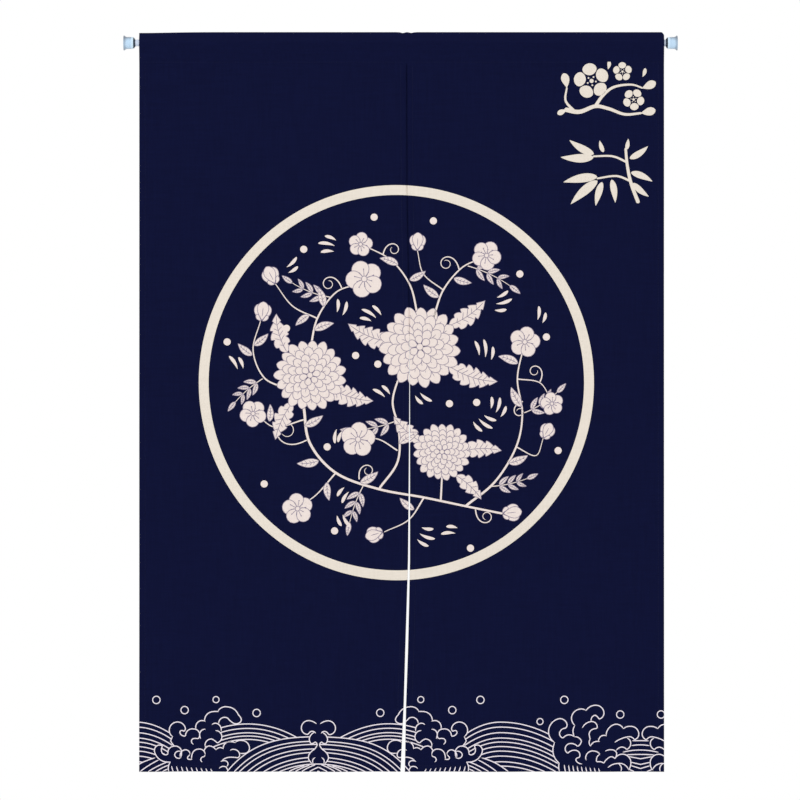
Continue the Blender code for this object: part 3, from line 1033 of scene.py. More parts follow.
# Foam at the right end, in millimetres from the end's own axis
RIGHT_FOAM_OUTLINE = (
    ((-138.9, 47.1, 0), (-148.9, 64.6, 0.26), (-131.8, 85.9, 0.36), (-119.1, 77, 0.38), (-121.8, 70.6, 0.3),
     (-131.2, 62.6, -0.34), (-125.3, 54.5, -0.38), (-107.2, 56.6, 0.46)),
    ((-107.3, 57.5, 0), (-106.4, 74.9, 0.3)),
    ((-106.4, 74.9, 0), (-112, 87, 0.2), (-95.6, 101.8, 0.4), (-88.5, 99.3, 0.16)),
    ((-88.6, 98.8, 0), (-73.7, 107.8, 0.26), (-59.3, 95.5, 0.42), (-67.5, 85.4, 0.36), (-73.7, 91.7, -0.2),
     (-80.1, 81.6, -0.42)),
    ((-94.4, 71, 0), (-80.5, 81.4, 0.26), (-70.4, 74.4, 0.4), (-71, 70.2, 0.16), (-78.9, 68.3, -0.12),
     (-83.5, 60.5, -0.26), (-81.8, 52.4, 0.03), (-83.4, 47.6, -0.2), (-81.2, 41.3, -0.12)),
    ((-81.2, 41.3, 0), (-66.2, 48.8, 0.42)),
    ((-67.9, 48.9, 0), (-55, 57.9, 0.64)),
    ((-55.9, 58.6, 0), (-40.5, 77, 0.36), (-27.8, 69.5, 0.3)),
    ((-27.9, 69.2, 0), (-16.9, 73.3, 0.22), (-2.7, 61.5, 0.42), (-9.8, 51.7, 0.36), (-19.8, 56.5, -0.3),
     (-42, 47.5, -0.12)),
    ((-22, 54.2, 0), (-15.9, 46, 0.36), (-22.7, 35.9, 0.34), (-30.8, 39.9, -0.26), (-39.5, 34.2, -0.22)),
    ((-138.9, 47.1, 0), (-131.8, 13.9, -0.36), (-131.2, 0.2, -0.14)),
)
RIGHT_FOAM_CURLS = (
    ((-107.2, 56.6, 0), (-95.9, 50, 0.34), (-102.1, 41.1, 0.26), (-113.4, 45.8, -0.22),
     (-122.1, 36.2, -0.42), (-117.6, 30, -0.26), (-106, 34.9, 0.24), (-98.2, 27, 0.4),
     (-99.8, 22.9, 0.16), (-104.9, 18.8, -0.45), (-94.6, 12.8, -0.3)),
    ((-57.5, 33.3, 0), (-47, 35.7, 0.16), (-38.7, 30.4, 0.3), (-41.7, 21.3, 0.2), (-49.2, 24.2, -0.3),
     (-59.7, 13.9, -0.16), (-65.2, 16.4, -0.16), (-71.4, 16.5, 0), (-70.9, 23.2, 0.14), (-65.8, 28.5, 0.2)),
    ((-65.8, 28.5, 0), (-76.3, 33.8, -0.22), (-89, 22.8, -0.44), (-88, 18.5, -0.08)),
    ((-41.7, 21.3, 0), (-29.8, 28.4, 0.26), (-15.6, 14.6, 0.42), (-19.4, 2.4, 0.16)),
    ((-53, 6.5, 0), (-37, 13.4, 0.2), (-19.4, 3.2, 0.36)),
    ((-36.2, 12.9, 0), (-31, 6, 0.26), (-31.8, 0.3, 0.1)),
)
RIGHT_FOAM_CORES = (
    ((-138.9, 47.1), (-125.3, 54.5), (-107.3, 57.5), (-106.4, 74.9), (-88.6, 98.8), (-80.1, 81.6),
     (-81.2, 41.3), (-66, 48.8), (-55.9, 58.6), (-27.9, 69.2), (-9.8, 51.7), (-22.7, 35.9),
     (-19.4, 0), (-131.2, 0)),
)
# Low ripples between the two foams of the right end, and the small foot waves beside the foam
RIGHT_RIPPLES = (
    ((-13.6, 49.9, 0), (13.6, 49.9, 0.02)),
    ((-14.9, 42, 0), (14.9, 42, 0.09)),
    ((-28.9, 31.5, 0), (28.9, 31.5, 0.12)),
    ((-22.5, 27.2, 0), (22.5, 27.2, 0.03)),
    ((-18.8, 24.4, 0), (0, 20.8, 0), (18.8, 24.4, 0)),
    ((-15.6, 15.3, 0), (0, 11.6, 0), (15.6, 15.3, 0)),
    ((-15.6, 9.8, 0), (0, 5, 0), (15.6, 9.8, 0)),
    ((-19.5, 3.9, 0), (-10, 0.3, 0)),
    ((19.5, 3.9, 0), (10, 0.3, 0)),
)
FOOT_WAVES = (
    ((-17.5, 0.2, 0), (5.7, 15.5, 0.05), (26, 22.8, 0.04)),
    ((1.3, 0.2, 0), (31.7, 19.2, 0.06)),
    ((14.3, 0.2, 0), (49, 17, 0.06)),
    ((26, 0.2, 0), (47.5, 10.6, 0.05)),
    ((37.5, 0.2, 0), (46.8, 4.6, 0.04)),
)
FOOT_WAVE_COVER = ((-17.5, 0), (5.7, 15.5), (26, 22.8), (50.7, 16), (48, 0))
# The pair of curls on the front swell: its left half, in millimetres from the middle
CURL_HEAD = (
    (-2.9, 77.6, 0), (-15.2, 82.8, -0.16), (-27.7, 71, -0.42), (-17.6, 60.4, -0.42), (-15.2, 62.4, -0.1),
    (-4.3, 62.2, 0.6),
)
CURL_STEM = (
    (-6.2, 64, 0), (-14.8, 53.5, -0.26), (-12, 45.6, -0.2), (-5.6, 48.5, -0.3), (-1.9, 43.6, 0.3),
    (-7.5, 35.6, 0.14), (-15.3, 27.6, -0.14), (-16, 20.5, -0.16), (-10, 13, -0.1),
)
CURL_FOOT = ((-4.9, 23.2, 0), (-9.4, 18.6, -0.2), (-8.5, 13.4, -0.14))

# Slanted strokes at the foam's foot
Comb = namedtuple("Comb", "start step count height lean")
LEFT_COMB = Comb(0.0523, 0.0079, 9, 0.0092, 0.0026)
RIGHT_COMB = Comb(-0.1234, 0.0069, 9, 0.0112, 0.0018)

Spray = namedtuple("Spray", "across up radius")
SPRAY = (
    Spray(0.0279, 0.1164, 0.0060),
    Spray(0.0734, 0.0996, 0.0060),
    Spray(0.1244, 0.1168, 0.0050),
    Spray(0.1901, 0.0952, 0.0060),
)
RIGHT_SPRAY = (
    Spray(0.6491, 0.0811, 0.0050),
    Spray(0.6884, 0.1164, 0.0060),
    Spray(0.7790, 0.0926, 0.0060),
    Spray(0.8449, 0.0928, 0.0060),
)
SPRAY_LINE = 0.0015

# Swells: height of the crest, distances of the lines below it, place, and how far their sides fall
BACK_CREST = 0.0805
BACK_SPACINGS = (0.0, 0.0080, 0.0171, 0.0257, 0.0322, 0.0395, 0.0468, 0.0549, 0.0641, 0.0711)
BACK_AXIS = -0.0045
BACK_STEEP_SIDE = (6.2, 0.0)
BACK_LONG_SIDE = (3.2, 0.0)
BACK_REACH = 0.125
MIDDLE_CREST = 0.0775
MIDDLE_SPACINGS = (0.0, 0.0072, 0.0143, 0.0195, 0.0250)
MIDDLE_AXIS = 0.1750
MIDDLE_SIDE = (3.45, 0.0)
MIDDLE_REACH = 0.120
FRONT_CREST = 0.0567
FRONT_SPACINGS = (0.0, 0.0073, 0.0123, 0.0196, 0.0253, 0.0332, 0.0390, 0.0441)
FRONT_SIDE = (1.026, 70.8)
FRONT_REACH = 0.150
FRONT_TIGHTENING = 43.0
FRONT_INNER_WAVES = (
    ((-47.5, 0.3, 0), (-22.7, 9.6, 0.07)),
    ((-37.2, 0.3, 0), (-14.5, 10.4, 0.07)),
    ((-26.9, 0.3, 0), (-5, 11.4, 0.07)),
    ((-14.5, 0.3, 0), (0, 7.6, 0.03)),
    ((-2, 0.3, 0), (0, 1.2, 0)),
)
FRONT_COVER = np.vstack([
    swell(FRONT_CREST, (0.0,), FRONT_SIDE, FRONT_SIDE, FRONT_REACH)[0] + (WAVE_AXIS, 0.0),
    [(WAVE_AXIS + FRONT_REACH, -0.1), (WAVE_AXIS - FRONT_REACH, -0.1)],
])


def foam_covers(outline_rows, core_rows, origin, mirrored):
    covers = [arc_chain(rows, origin, mirrored) for rows in outline_rows]
    for core in core_rows:
        flat_core = [(across, up, 0.0) for across, up in core]
        covers.append(arc_chain(flat_core, origin, mirrored))
    return covers


def foam_lines(chains, origin, mirrored):
    return [Stroke(arc_chain(rows, origin, mirrored), LINE_WIDTH, (True, True)) for rows in chains]


def comb_lines(comb, origin, mirrored):
    strokes = []
    for index in range(comb.count):
        foot = comb.start + comb.step * index + comb.lean
        height = comb.height * (1.0 - 0.06 * index)
        rows = ((1000 * (foot - comb.lean), 1000 * height, 0), (1000 * foot, 0.2, -0.05))
        strokes.append(Stroke(arc_chain(rows, origin, mirrored), LINE_WIDTH, (True, False)))
    return strokes


def wave_half(mirrored):
    """Back swell, middle swell and foam on one side of the front swell."""
    if mirrored:
        def place(local):
            return 2 * WAVE_AXIS - local
    else:
        def place(local):
            return local
    origin = place(0.0)
    foam = foam_covers(LEFT_FOAM_OUTLINE + LEFT_FOAM_FOOT, LEFT_FOAM_CORES, origin, mirrored)
    foot_cover = arc_chain([(across, up, 0.0) for across, up in FOOT_WAVE_COVER], origin, mirrored)
    back = swell(BACK_CREST, BACK_SPACINGS, BACK_STEEP_SIDE, BACK_LONG_SIDE, BACK_REACH, nested=False)
    middle = swell(MIDDLE_CREST, MIDDLE_SPACINGS, MIDDLE_SIDE, MIDDLE_SIDE, MIDDLE_REACH)
    right_foam = foam_covers(RIGHT_FOAM_OUTLINE, RIGHT_FOAM_CORES, RIGHT_AXIS, False)
    strokes = hide_behind(lines_of(back, place(BACK_AXIS), mirrored), foam + right_foam + [foot_cover])
    strokes += hide_behind(foam_lines(FOOT_WAVES, origin, mirrored), foam)
    strokes += hide_behind(lines_of(middle, place(MIDDLE_AXIS), mirrored), foam + [FRONT_COVER])
    chains = LEFT_FOAM_OUTLINE + LEFT_FOAM_FOOT + LEFT_FOAM_CURLS
    strokes += hide_behind(foam_lines(chains, origin, mirrored), [FRONT_COVER])
    strokes += comb_lines(LEFT_COMB, origin, mirrored)
    strokes += spray_rings(SPRAY, origin, mirrored)
    return strokes


def curl_pair():
    """The pair of curls on the front swell, and what they cover."""
    strokes = []
    covers = []
    for mirrored in (False, True):
        strokes += foam_lines((CURL_HEAD, CURL_STEM, CURL_FOOT), WAVE_AXIS, mirrored)
        covers.append(arc_chain(CURL_HEAD, WAVE_AXIS, mirrored))
    stems = [arc_chain(CURL_STEM, WAVE_AXIS, mirrored) for mirrored in (False, True)]
    covers.append(np.vstack([stems[0], stems[1][::-1]]))
    return strokes, covers


def spray_rings(sprays, origin, mirrored):
    strokes = []
    for spray in sprays:
        across = origin - spray.across if mirrored else origin + spray.across
        outline = circle((across, spray.up), spray.radius, 48)
        strokes.append(Stroke(np.array([*outline, outline[0], outline[1]]), SPRAY_LINE, (False, False)))
    return strokes


def border_strokes():
    curls, curl_covers = curl_pair()
    front = []
    for spacing in FRONT_SPACINGS:
        side = (FRONT_SIDE[0] + FRONT_TIGHTENING * spacing, FRONT_SIDE[1])
        front += swell(FRONT_CREST - spacing, (0.0,), side, side, FRONT_REACH)
    strokes = wave_half(False) + wave_half(True)
    strokes += hide_behind(lines_of(front, WAVE_AXIS), curl_covers)
    strokes += curls
    for mirrored in (False, True):
        strokes += lines_of([arc_chain(rows) for rows in FRONT_INNER_WAVES], WAVE_AXIS, mirrored)
        strokes += foam_lines(RIGHT_FOAM_OUTLINE + RIGHT_FOAM_CURLS, RIGHT_AXIS, mirrored)
        strokes += comb_lines(RIGHT_COMB, RIGHT_AXIS, mirrored)
    strokes += foam_lines(RIGHT_RIPPLES, RIGHT_AXIS, False)
    strokes += spray_rings(RIGHT_SPRAY, 0.0, False)
    corner = np.array((CLOTH_LEFT, -FOOT_BELOW_ROD))
    return [Stroke(stroke.points + corner, stroke.width, stroke.tapers) for stroke in strokes]


border_ink = canvas_material("pale_pigment_on_canvas", "E8DFE8", "F5EEF4", 0.85)
lay_print(draw_lines("border", border_strokes()), "print_border", INK_LIFT, border_ink)


# Roundel
# Garden flowers, leaves and twigs inside the ring, in a free layout of this model's own. They are
# printed in pinkish cream, and their petals and veins are drawn over it in a thin mauve grey.
VEIN_WIDTH = 0.0008
STEM_STEP = 1.0

# What is drawn so far round one middle point: filled shapes, stems, and lines over them
Page = namedtuple("Page", "middle fills stems veins")
page = Page(RING_CENTRE, [], [], [])


def smooth_line(points, step=STEM_STEP):
    """A smooth line through given points."""
    points = np.asarray(points, dtype=float)
    ends = np.vstack([2 * points[0] - points[1], points, 2 * points[-1] - points[-2]])
    pieces = []
    for before, start, stop, after in zip(ends, ends[1:], ends[2:], ends[3:]):
        count = max(int(np.hypot(*(stop - start)) / step), 2)
        t = np.linspace(0.0, 1.0, count, endpoint=False)[:, None]
        pieces.append(0.5 * (
            2 * start
            + (stop - before) * t
            + (2 * before - 5 * start + 4 * stop - after) * t ** 2
            + (3 * start - before - 3 * stop + after) * t ** 3
        ))
    pieces.append(points[-1:])
    return np.vstack(pieces)


def on_cloth(points):
    """Millimetres from the middle of the page to print coordinates."""
    return np.asarray(points) * 0.001 + page.middle


def draw_shape(outline, veins=(), outlined=True):
    """Add a filled shape over what is there, with its outline and veins."""
    outline = on_cloth(outline)
    low = outline.min(axis=0)
    high = outline.max(axis=0)
    kept = []
    for vein in page.veins:
        if np.any(vein.points.min(axis=0) > high) or np.any(vein.points.max(axis=0) < low):
            kept.append(vein)
        else:
            kept += hide_behind([vein], [outline])
    page.fills.append(outline)
    page.veins[:] = kept
    if outlined:
        page.veins.append(Stroke(np.vstack([outline, outline[:2]]), VEIN_WIDTH, (False, False)))
    for vein in veins:
        page.veins.append(Stroke(on_cloth(vein), VEIN_WIDTH, (True, True)))


def draw_stem(points, start_width, end_width):
    line = smooth_line(points)
    widths = np.linspace(start_width, end_width, len(line)) * 0.001
    page.stems.append(Stroke(on_cloth(line), widths, (False, False)))
    return line


def blade(base, heading, length, width, bend, rise, fullness, count=22):
    """Outline and middle line of a petal or leaf that grows from its base and bends evenly."""
    share = np.linspace(0.0, 1.0, count)
    angles = math.radians(heading) + math.radians(bend) * (share - 0.15)
    step = length / (count - 1)
    middle = np.column_stack([np.cumsum(np.cos(angles)), np.cumsum(np.sin(angles))]) * step + base
    side = np.column_stack([-np.sin(angles), np.cos(angles)])
    half = width / 2 * np.sin(math.pi * share ** rise) ** fullness
    return middle, side, half


def both_sides(middle, side, half):
    """Closed outline at half a width to each side of a middle line."""
    reach = side * half[:, None]
    return np.vstack([middle + reach, (middle - reach)[::-1][1:-1]])


def draw_petal(base, heading, length, width, bend=0.0, outlined=True, veined=True):
    middle, side, half = blade(base, heading, length, width, bend, 1.45, 0.6)
    draw_shape(both_sides(middle, side, half), [middle[4:15]] if veined else (), outlined)


def draw_drop(base, heading, length, width=5.4, bend=35.0):
    draw_petal(base, heading, length, width, bend, outlined=False, veined=False)


def draw_leaf(base, heading, length, width, bend, lobes=0):
    """A pointed leaf with a midrib and side veins. A lobed one has round teeth to its edge."""
    count = 22 if lobes == 0 else 10 * lobes
    middle, side, half = blade(base, heading, length, width, bend, 0.78, 0.9, count)
    share = np.linspace(0.0, 1.0, count)
    if lobes:
        half = half * (1.0 - 0.42 * np.clip((share * lobes) % 1.0, 0.0, 1.0) ** 2.2)
    veins = [middle[1:-3]]
    for place in np.linspace(0.2, 0.72, max(lobes, 4)):
        index = int(place * (count - 1))
        reach = half[index] * 0.72
        forward = middle[min(index + 2, count - 1)] - middle[index]
        forward = forward / np.hypot(*forward)
        for sign in (1, -1):
            tip = middle[index] + side[index] * sign * reach + forward * reach * 0.75
            halfway = (middle[index] + tip) / 2 + forward * 0.6
            veins.append(smooth_line([middle[index], halfway, tip]))
    draw_shape(both_sides(middle, side, half), veins)


def draw_leaflets(base, heading, length, pairs, leaflet, bend):
    """A feathery leaf: leaflets in pairs on a thin stalk, with one at its tip."""
    middle, side, half = blade(base, heading, length, 0.0, bend, 1.0, 1.0)
    widths = np.linspace(0.0016, 0.0009, len(middle))
    page.stems.append(Stroke(on_cloth(middle), widths, (False, False)))
    share = np.linspace(0.0, 1.0, len(middle))
    angles = math.radians(heading) + math.radians(bend) * (share - 0.15)
    for pair in range(pairs):
        index = int((0.2 + 0.72 * pair / pairs) * (len(middle) - 1))
        size = leaflet * (1.0 - 0.09 * pair)
        for sign in (1, -1):
            outward = math.degrees(angles[index]) + sign * 44
            draw_leaf(middle[index], outward, size, size * 0.36, -sign * 20)
    draw_leaf(middle[-2], math.degrees(angles[-1]), leaflet * 0.95, leaflet * 0.36, bend / 3)


# Rings of petals of a full flower: how many, where they start and end, and their width
PetalRing = namedtuple("PetalRing", "petals start end width offset")
FULL_FLOWER = (
    PetalRing(19, 0.40, 1.00, 0.300, 0.0),
    PetalRing(15, 0.30, 0.80, 0.285, 0.5),
    PetalRing(12, 0.20, 0.62, 0.260, 0.2),
    PetalRing(9, 0.11, 0.45, 0.230, 0.7),
    PetalRing(6, 0.04, 0.29, 0.190, 0.1),
)


def draw_full_flower(centre, radius, turn):
    """A full many-petalled flower seen from the front, its petals in five uneven rings."""
    centre = np.array(centre, dtype=float)
    for number, ring_row in enumerate(FULL_FLOWER):
        for petal in range(ring_row.petals):
            heading = turn + 360.0 * (petal + ring_row.offset) / ring_row.petals
            uneven = 1.0 + 0.05 * math.sin(2.1 * petal + 1.3 * number + turn)
            base = centre + radius * ring_row.start * np.array(
                (math.cos(math.radians(heading)), math.sin(math.radians(heading)))
            )
            length = radius * (ring_row.end - ring_row.start) * uneven
            draw_petal(base, heading, length, radius * ring_row.width, 10.0, veined=number < 3)
    draw_shape(np.array(circle(centre, radius * 0.085, 20)))


def draw_five_petals(centre, radius, turn):
    """A small open blossom with five round petals, and stamens in fine lines."""
    centre = np.array(centre, dtype=float)
    for petal in range(5):
        heading = turn + 72.0 * petal
        draw_shape(both_sides(*blade(centre, heading, radius, radius * 0.98, 0.0, 1.15, 0.5)))
    draw_shape(np.array(circle(centre, radius * 0.16, 20)))
    for stamen in range(10):
        heading = math.radians(turn + 36.0 * stamen + 18.0)
        reach = radius * (0.55 if stamen % 2 else 0.42)
        direction = np.array((math.cos(heading), math.sin(heading)))
        start = centre + direction * radius * 0.17
        tip = centre + direction * reach
        page.veins.append(Stroke(on_cloth(np.linspace(start, tip, 8)), VEIN_WIDTH, (False, False)))
        dot = np.array(circle(tip, radius * 0.018 + 0.25, 10))
        page.veins.append(Stroke(on_cloth(np.vstack([dot, dot[:1]])), VEIN_WIDTH, (False, False)))


def draw_bud(base, heading, length):
    """A closed bud in its cup: two side petals, one over them, and two sepals."""
    base = np.array(base, dtype=float)
    for side in (26, -26):
        draw_petal(base, heading + side, length * 0.9, length * 0.5, -side * 1.2, veined=False)
    draw_petal(base, heading, length, length * 0.62)
    for side in (62, -62):
        draw_petal(base, heading + side, length * 0.45, length * 0.2, -side, veined=False)


def draw_spray(base, heading, sizes, gap, spread):
    """A few drops side by side, like blown petals."""
    across = np.array((-math.sin(math.radians(heading)), math.cos(math.radians(heading))))
    for number, size in enumerate(sizes):
        place = np.asarray(base, dtype=float) + across * gap * number
        draw_drop(place, heading + spread * number, size)


def draw_tendril(base, heading, length, curl):
    """A fine tendril that leaves its twig and winds up ever tighter."""
    share = np.linspace(0.0, 1.0, 60)
    angles = math.radians(heading) + math.radians(curl) * share ** 1.8
    steps = np.column_stack([np.cos(angles), np.sin(angles)]) * length / 59
    line = np.cumsum(steps, axis=0) + base
    page.stems.append(Stroke(on_cloth(line), np.linspace(0.0021, 0.0010, 60), (False, True)))


# Twigs: points from where they branch, and their width there and at the end
draw_stem(
    [(172, -212), (112, -200), (45, -186), (-30, -172), (-98, -146), (-140, -98), (-150, -40)],
    3.2,
    4.2,
)
draw_stem([(-28, -172), (2, -128), (4, -76), (-6, -30), (8, 20)], 3.6, 2.8)
draw_stem([(112, -200), (160, -160), (194, -104), (204, -50), (196, 6), (206, 58)], 3.8, 2.0)
draw_stem([(60, 105), (76, 150), (106, 186), (140, 202)], 3.2, 1.8)
draw_stem([(34, 112), (22, 158), (-8, 198), (-52, 222)], 3.2, 1.6)
draw_stem([(-140, 50), (-128, 104), (-98, 146), (-60, 160)], 3.4, 1.8)
draw_stem([(-176, -10), (-214, 8), (-232, 52), (-220, 100)], 2.8, 1.4)
draw_stem([(-98, -146), (-128, -180), (-150, -196)], 2.6, 1.4)
draw_stem([(72, -190), (74, -150)], 3.0, 2.6)
draw_stem([(2, -110), (-28, -92), (-58, -90)], 2.4, 1.4)
draw_stem([(196, 6), (232, 0), (250, -26)], 2.0, 1.2)
draw_stem([(45, -186), (20, -222), (-20, -242)], 2.6, 1.3)
draw_stem([(-128, 104), (-168, 124), (-196, 160)], 2.4, 1.3)
draw_stem([(194, -104), (226, -118), (238, -90)], 2.0, 1.1)
draw_stem([(76, 150), (44, 176), (34, 214)], 2.0, 1.2)
draw_stem([(-150, -60), (-196, -72), (-226, -52)], 2.4, 1.2)

draw_leaf((-112, -6), -28, 78, 34, 30, lobes=6)
draw_leaf((-176, 48), 118, 66, 30, -34, lobes=5)
draw_leaf((-168, -32), 236, 66, 30, 26, lobes=5)
draw_leaf((84, 28), -30, 84, 36, 34, lobes=6)
draw_leaf((-2, 66), 172, 82, 34, -38, lobes=6)
draw_leaf((84, 92), 24, 72, 32, 30, lobes=5)
draw_leaf((104, -112), 12, 66, 30, -30, lobes=5)
draw_leaf((40, -96), 146, 60, 28, -26, lobes=5)
draw_leaf((96, -150), -34, 56, 26, -26, lobes=4)

draw_full_flower((-140, 12), 56, 8)
draw_full_flower((38, 58), 64, 30)
draw_full_flower((74, -112), 45, 51)

draw_leaflets((-52, -164), 244, 66, 3, 23, 16)
draw_leaflets((152, -168), 6, 60, 3, 21, 18)
draw_leaflets((204, -50), 24, 65, 3, 22, 22)
draw_leaflets((-104, 138), 168, 68, 3, 22, -24)
draw_leaflets((112, 190), -18, 78, 3, 23, -20)
draw_leaflets((-214, 8), 214, 60, 3, 21, 18)
draw_leaflets((4, -60), 200, 75, 3, 23, -22)

draw_five_petals((-62, -92), 27, 12)
draw_five_petals((-52, 168), 29, 40)
draw_five_petals((208, 66), 24, 5)
draw_five_petals((146, 206), 23, 60)
draw_five_petals((-160, -204), 24, 26)
draw_five_petals((-232, -50), 21, 50)
draw_five_petals((-58, 224), 19, 8)
draw_five_petals((252, -34), 18, 30)

draw_bud((-218, 100), 84, 30)
draw_bud((-22, -242), 196, 28)
draw_bud((-196, 160), 118, 30)
draw_bud((238, -90), 62, 26)
draw_bud((34, 214), 88, 28)
draw_bud((172, -212), 6, 30)

draw_spray((-88, 108), 60, (24, 22), 10, 14)
draw_spray((-24, 108), 120, (22, 28, 20), 9, 16)
draw_spray((153, 36), 70, (22, 30, 25), 10, 12)
draw_spray((-96, -74), 250, (24, 20), 10, -14)
draw_spray((124, -62), 300, (22, 28, 22), 10, 12)
draw_spray((158, 118), -10, (20, 28, 22), 10, 14)
draw_spray((-100, 212), 170, (22, 28, 20), -9, -12)
draw_spray((40, -234), -20, (20, 27, 22), -10, -12)
draw_spray((-76, -176), 226, (22, 19), -10, -8)
draw_spray((-248, 22), 100, (20, 26), 9, 10)
draw_spray((-96, -214), 280, (19, 24), 9, 10)
draw_spray((100, -236), 160, (19, 24), 9, 10)
draw_spray((-10, -20), 120, (20, 24), 9, 14)
draw_spray((168, -56), 50, (20, 26, 20), 10, 12)
draw_spray((-176, 178), 20, (19, 24), 9, 12)
draw_spray((236, 96), 60, (18, 23), 9, 12)
draw_spray((30, -20), 300, (19, 24), 9, 12)

for base, heading, length, curl in (
    ((102, 182), 105, 84, 470),
    ((232, 0), 66, 66, 400),
    ((128, -204), -84, 74, 430),
    ((-143, -92), 206, 128, -440),
    ((-22, 206), 76, 66, -400),
    ((-88, 152), 112, 78, 430),
    ((206, -30), 200, 60, 420),
    ((-60, -158), 96, 70, -430),
):
    draw_tendril(base, heading, length, curl)

for base, heading, length, bend in (
    ((-150, -70), 20, 34, 24),
    ((-124, -126), 196, 36, -24),
    ((-60, -162), 20, 34, 30),
    ((4, -100), 40, 36, -26),
    ((180, -130), 10, 34, 30),
    ((204, -40), 128, 36, -26),
    ((198, 30), 150, 34, 26),
    ((70, 138), 150, 32, -24),
    ((92, 170), -24, 30, 24),
    ((4, 190), 150, 32, 28),
    ((-134, 84), 30, 34, -28),
    ((-118, 122), 96, 32, 26),
    ((-232, 44), 150, 30, -24),
    ((-232, 60), 30, 30, 24),
    ((30, -206), 150, 30, -24),
    ((-112, -160), 268, 30, 24),
    ((-140, 110), 210, 28, 20),
    ((20, 166), 20, 30, 24),
    ((-206, -64), 80, 28, 20),
):
    draw_leaf(base, heading, length, length * 0.38, bend)

DEW = (
    (-66, 44), (130, -32), (-112, -104), (200, 176), (-150, 216), (-274, 66), (60, 262), (120, -268),
    (-100, -240), (262, -110), (-36, 268), (-30, 30), (-214, -164), (-178, 88), (243, 74), (86, -34),
)
for place in DEW:
    draw_shape(np.array(circle(place, 5.8, 24)), outlined=False)


def fill_shapes(name, outlines):
    """Flat mesh of filled shapes, each on the lowest layer that no neighbour of its has."""
    bpy.ops.object.select_all(action="DESELECT")
    placed = []
    for outline in outlines:
        low = np.min(outline, axis=0)
        high = np.max(outline, axis=0)
        taken = [layer for start, stop, layer in placed if np.all(low < stop) and np.all(start < high)]
        layer = min(set(range(1, len(placed) + 2)) - set(taken))
        placed.append((low, high, layer))
        curve = bpy.data.curves.new(name, "CURVE")
        curve.dimensions = "2D"
        curve.fill_mode = "BOTH"
        spline = curve.splines.new("POLY")
        spline.points.add(len(outline) - 1)
        for point, place in zip(spline.points, outline):
            point.co = (place[0], place[1], 0.0, 1.0)
        spline.use_cyclic_u = True
        shape = bpy.data.objects.new(name, curve)
        shape.location.z = LAYER_STEP * layer
        bpy.context.scene.collection.objects.link(shape)
        shape.select_set(True)
    bpy.context.view_layer.objects.active = shape
    bpy.ops.object.convert(target="MESH")
    bpy.ops.object.join()
    bpy.ops.object.transform_apply(location=True, rotation=True, scale=True)
    return bpy.context.object


def print_page(name, ink):
    """Print a page's stems and filled shapes on the cloth in one ink."""
    shapes = fill_shapes(name, page.fills)
    stems = draw_lines(name + "_stems", page.stems)
    bpy.ops.object.select_all(action="DESELECT")
    stems.select_set(True)
    shapes.select_set(True)
    bpy.context.view_layer.objects.active = shapes
    bpy.ops.object.join()
    lay_print(shapes, name, INK_LIFT, ink)


VEIN_LIFT = INK_LIFT + 0.00022
petal_ink = canvas_material("pinkish_pigment_on_canvas", "E7D9D3", "F1E4DE", 0.85)
vein_ink = canvas_material("mauve_pigment_on_canvas", "7F7590", "92879F", 0.85)
print_page("print_garden", petal_ink)
lay_print(draw_lines("veins", page.veins), "print_veins", VEIN_LIFT, vein_ink)


# Two motifs at the top right
# A plum sprig and a spray of bamboo in the ring's cream pigment. They are stencilled: bold plain
# shapes with bare canvas between them.
UPPER_MOTIF = ((606.4 - 123.6) * PIXEL, (42.9 - 90.8) * PIXEL)
LOWER_MOTIF = ((606.4 - 123.6) * PIXEL, (42.9 - 174.8) * PIXEL)


def draw_stencil_flower(centre, radius, turn):
    """Five full petals with bare canvas between them, and a ring of dots round the middle."""
    centre = np.array(centre, dtype=float)
    for petal in range(5):
        heading = turn + 72.0 * petal
        direction = np.array((math.cos(math.radians(heading)), math.sin(math.radians(heading))))
        base = centre + direction * radius * 0.3
        petal_shape = blade(base, heading, radius * 0.7, radius * 0.82, 0.0, 1.05, 0.5)
        draw_shape(both_sides(*petal_shape), outlined=False)
        between = math.radians(heading + 36.0)
        dot = centre + radius * 0.25 * np.array((math.cos(between), math.sin(between)))
        draw_shape(np.array(circle(dot, radius * 0.05, 14)), outlined=False)
    draw_shape(np.array(circle(centre, radius * 0.12, 20)), outlined=False)


page = Page(UPPER_MOTIF, [], [], [])
draw_stem([(-68, -30), (-44, -34), (-18, -25), (4, -29), (30, -38), (58, -36)], 7.5, 3.5)
draw_stem([(-18, -25), (-6, -8), (12, 6), (40, 10), (60, 4)], 5.5, 2.5)
draw_stem([(-52, -33), (-66, -16), (-64, 6)], 4.5, 2.6)
draw_stencil_flower((-24, 16), 28, 100)
draw_stencil_flower((44, -14), 17, 60)
draw_stencil_flower((26, 31), 15, 20)
for base, heading, length in (
    ((-64, 4), 98, 24),
    ((57, 4), 20, 24),
    ((55, -36), 8, 24),
    ((-64, -31), 200, 16),
):
    draw_petal(base, heading, length, length * 0.55, 12.0, outlined=False, veined=False)
draw_drop((2, 34), 70, 15, 6)
draw_drop((58, 22), 60, 15, 6)
print_page("print_plum", cream_ink)

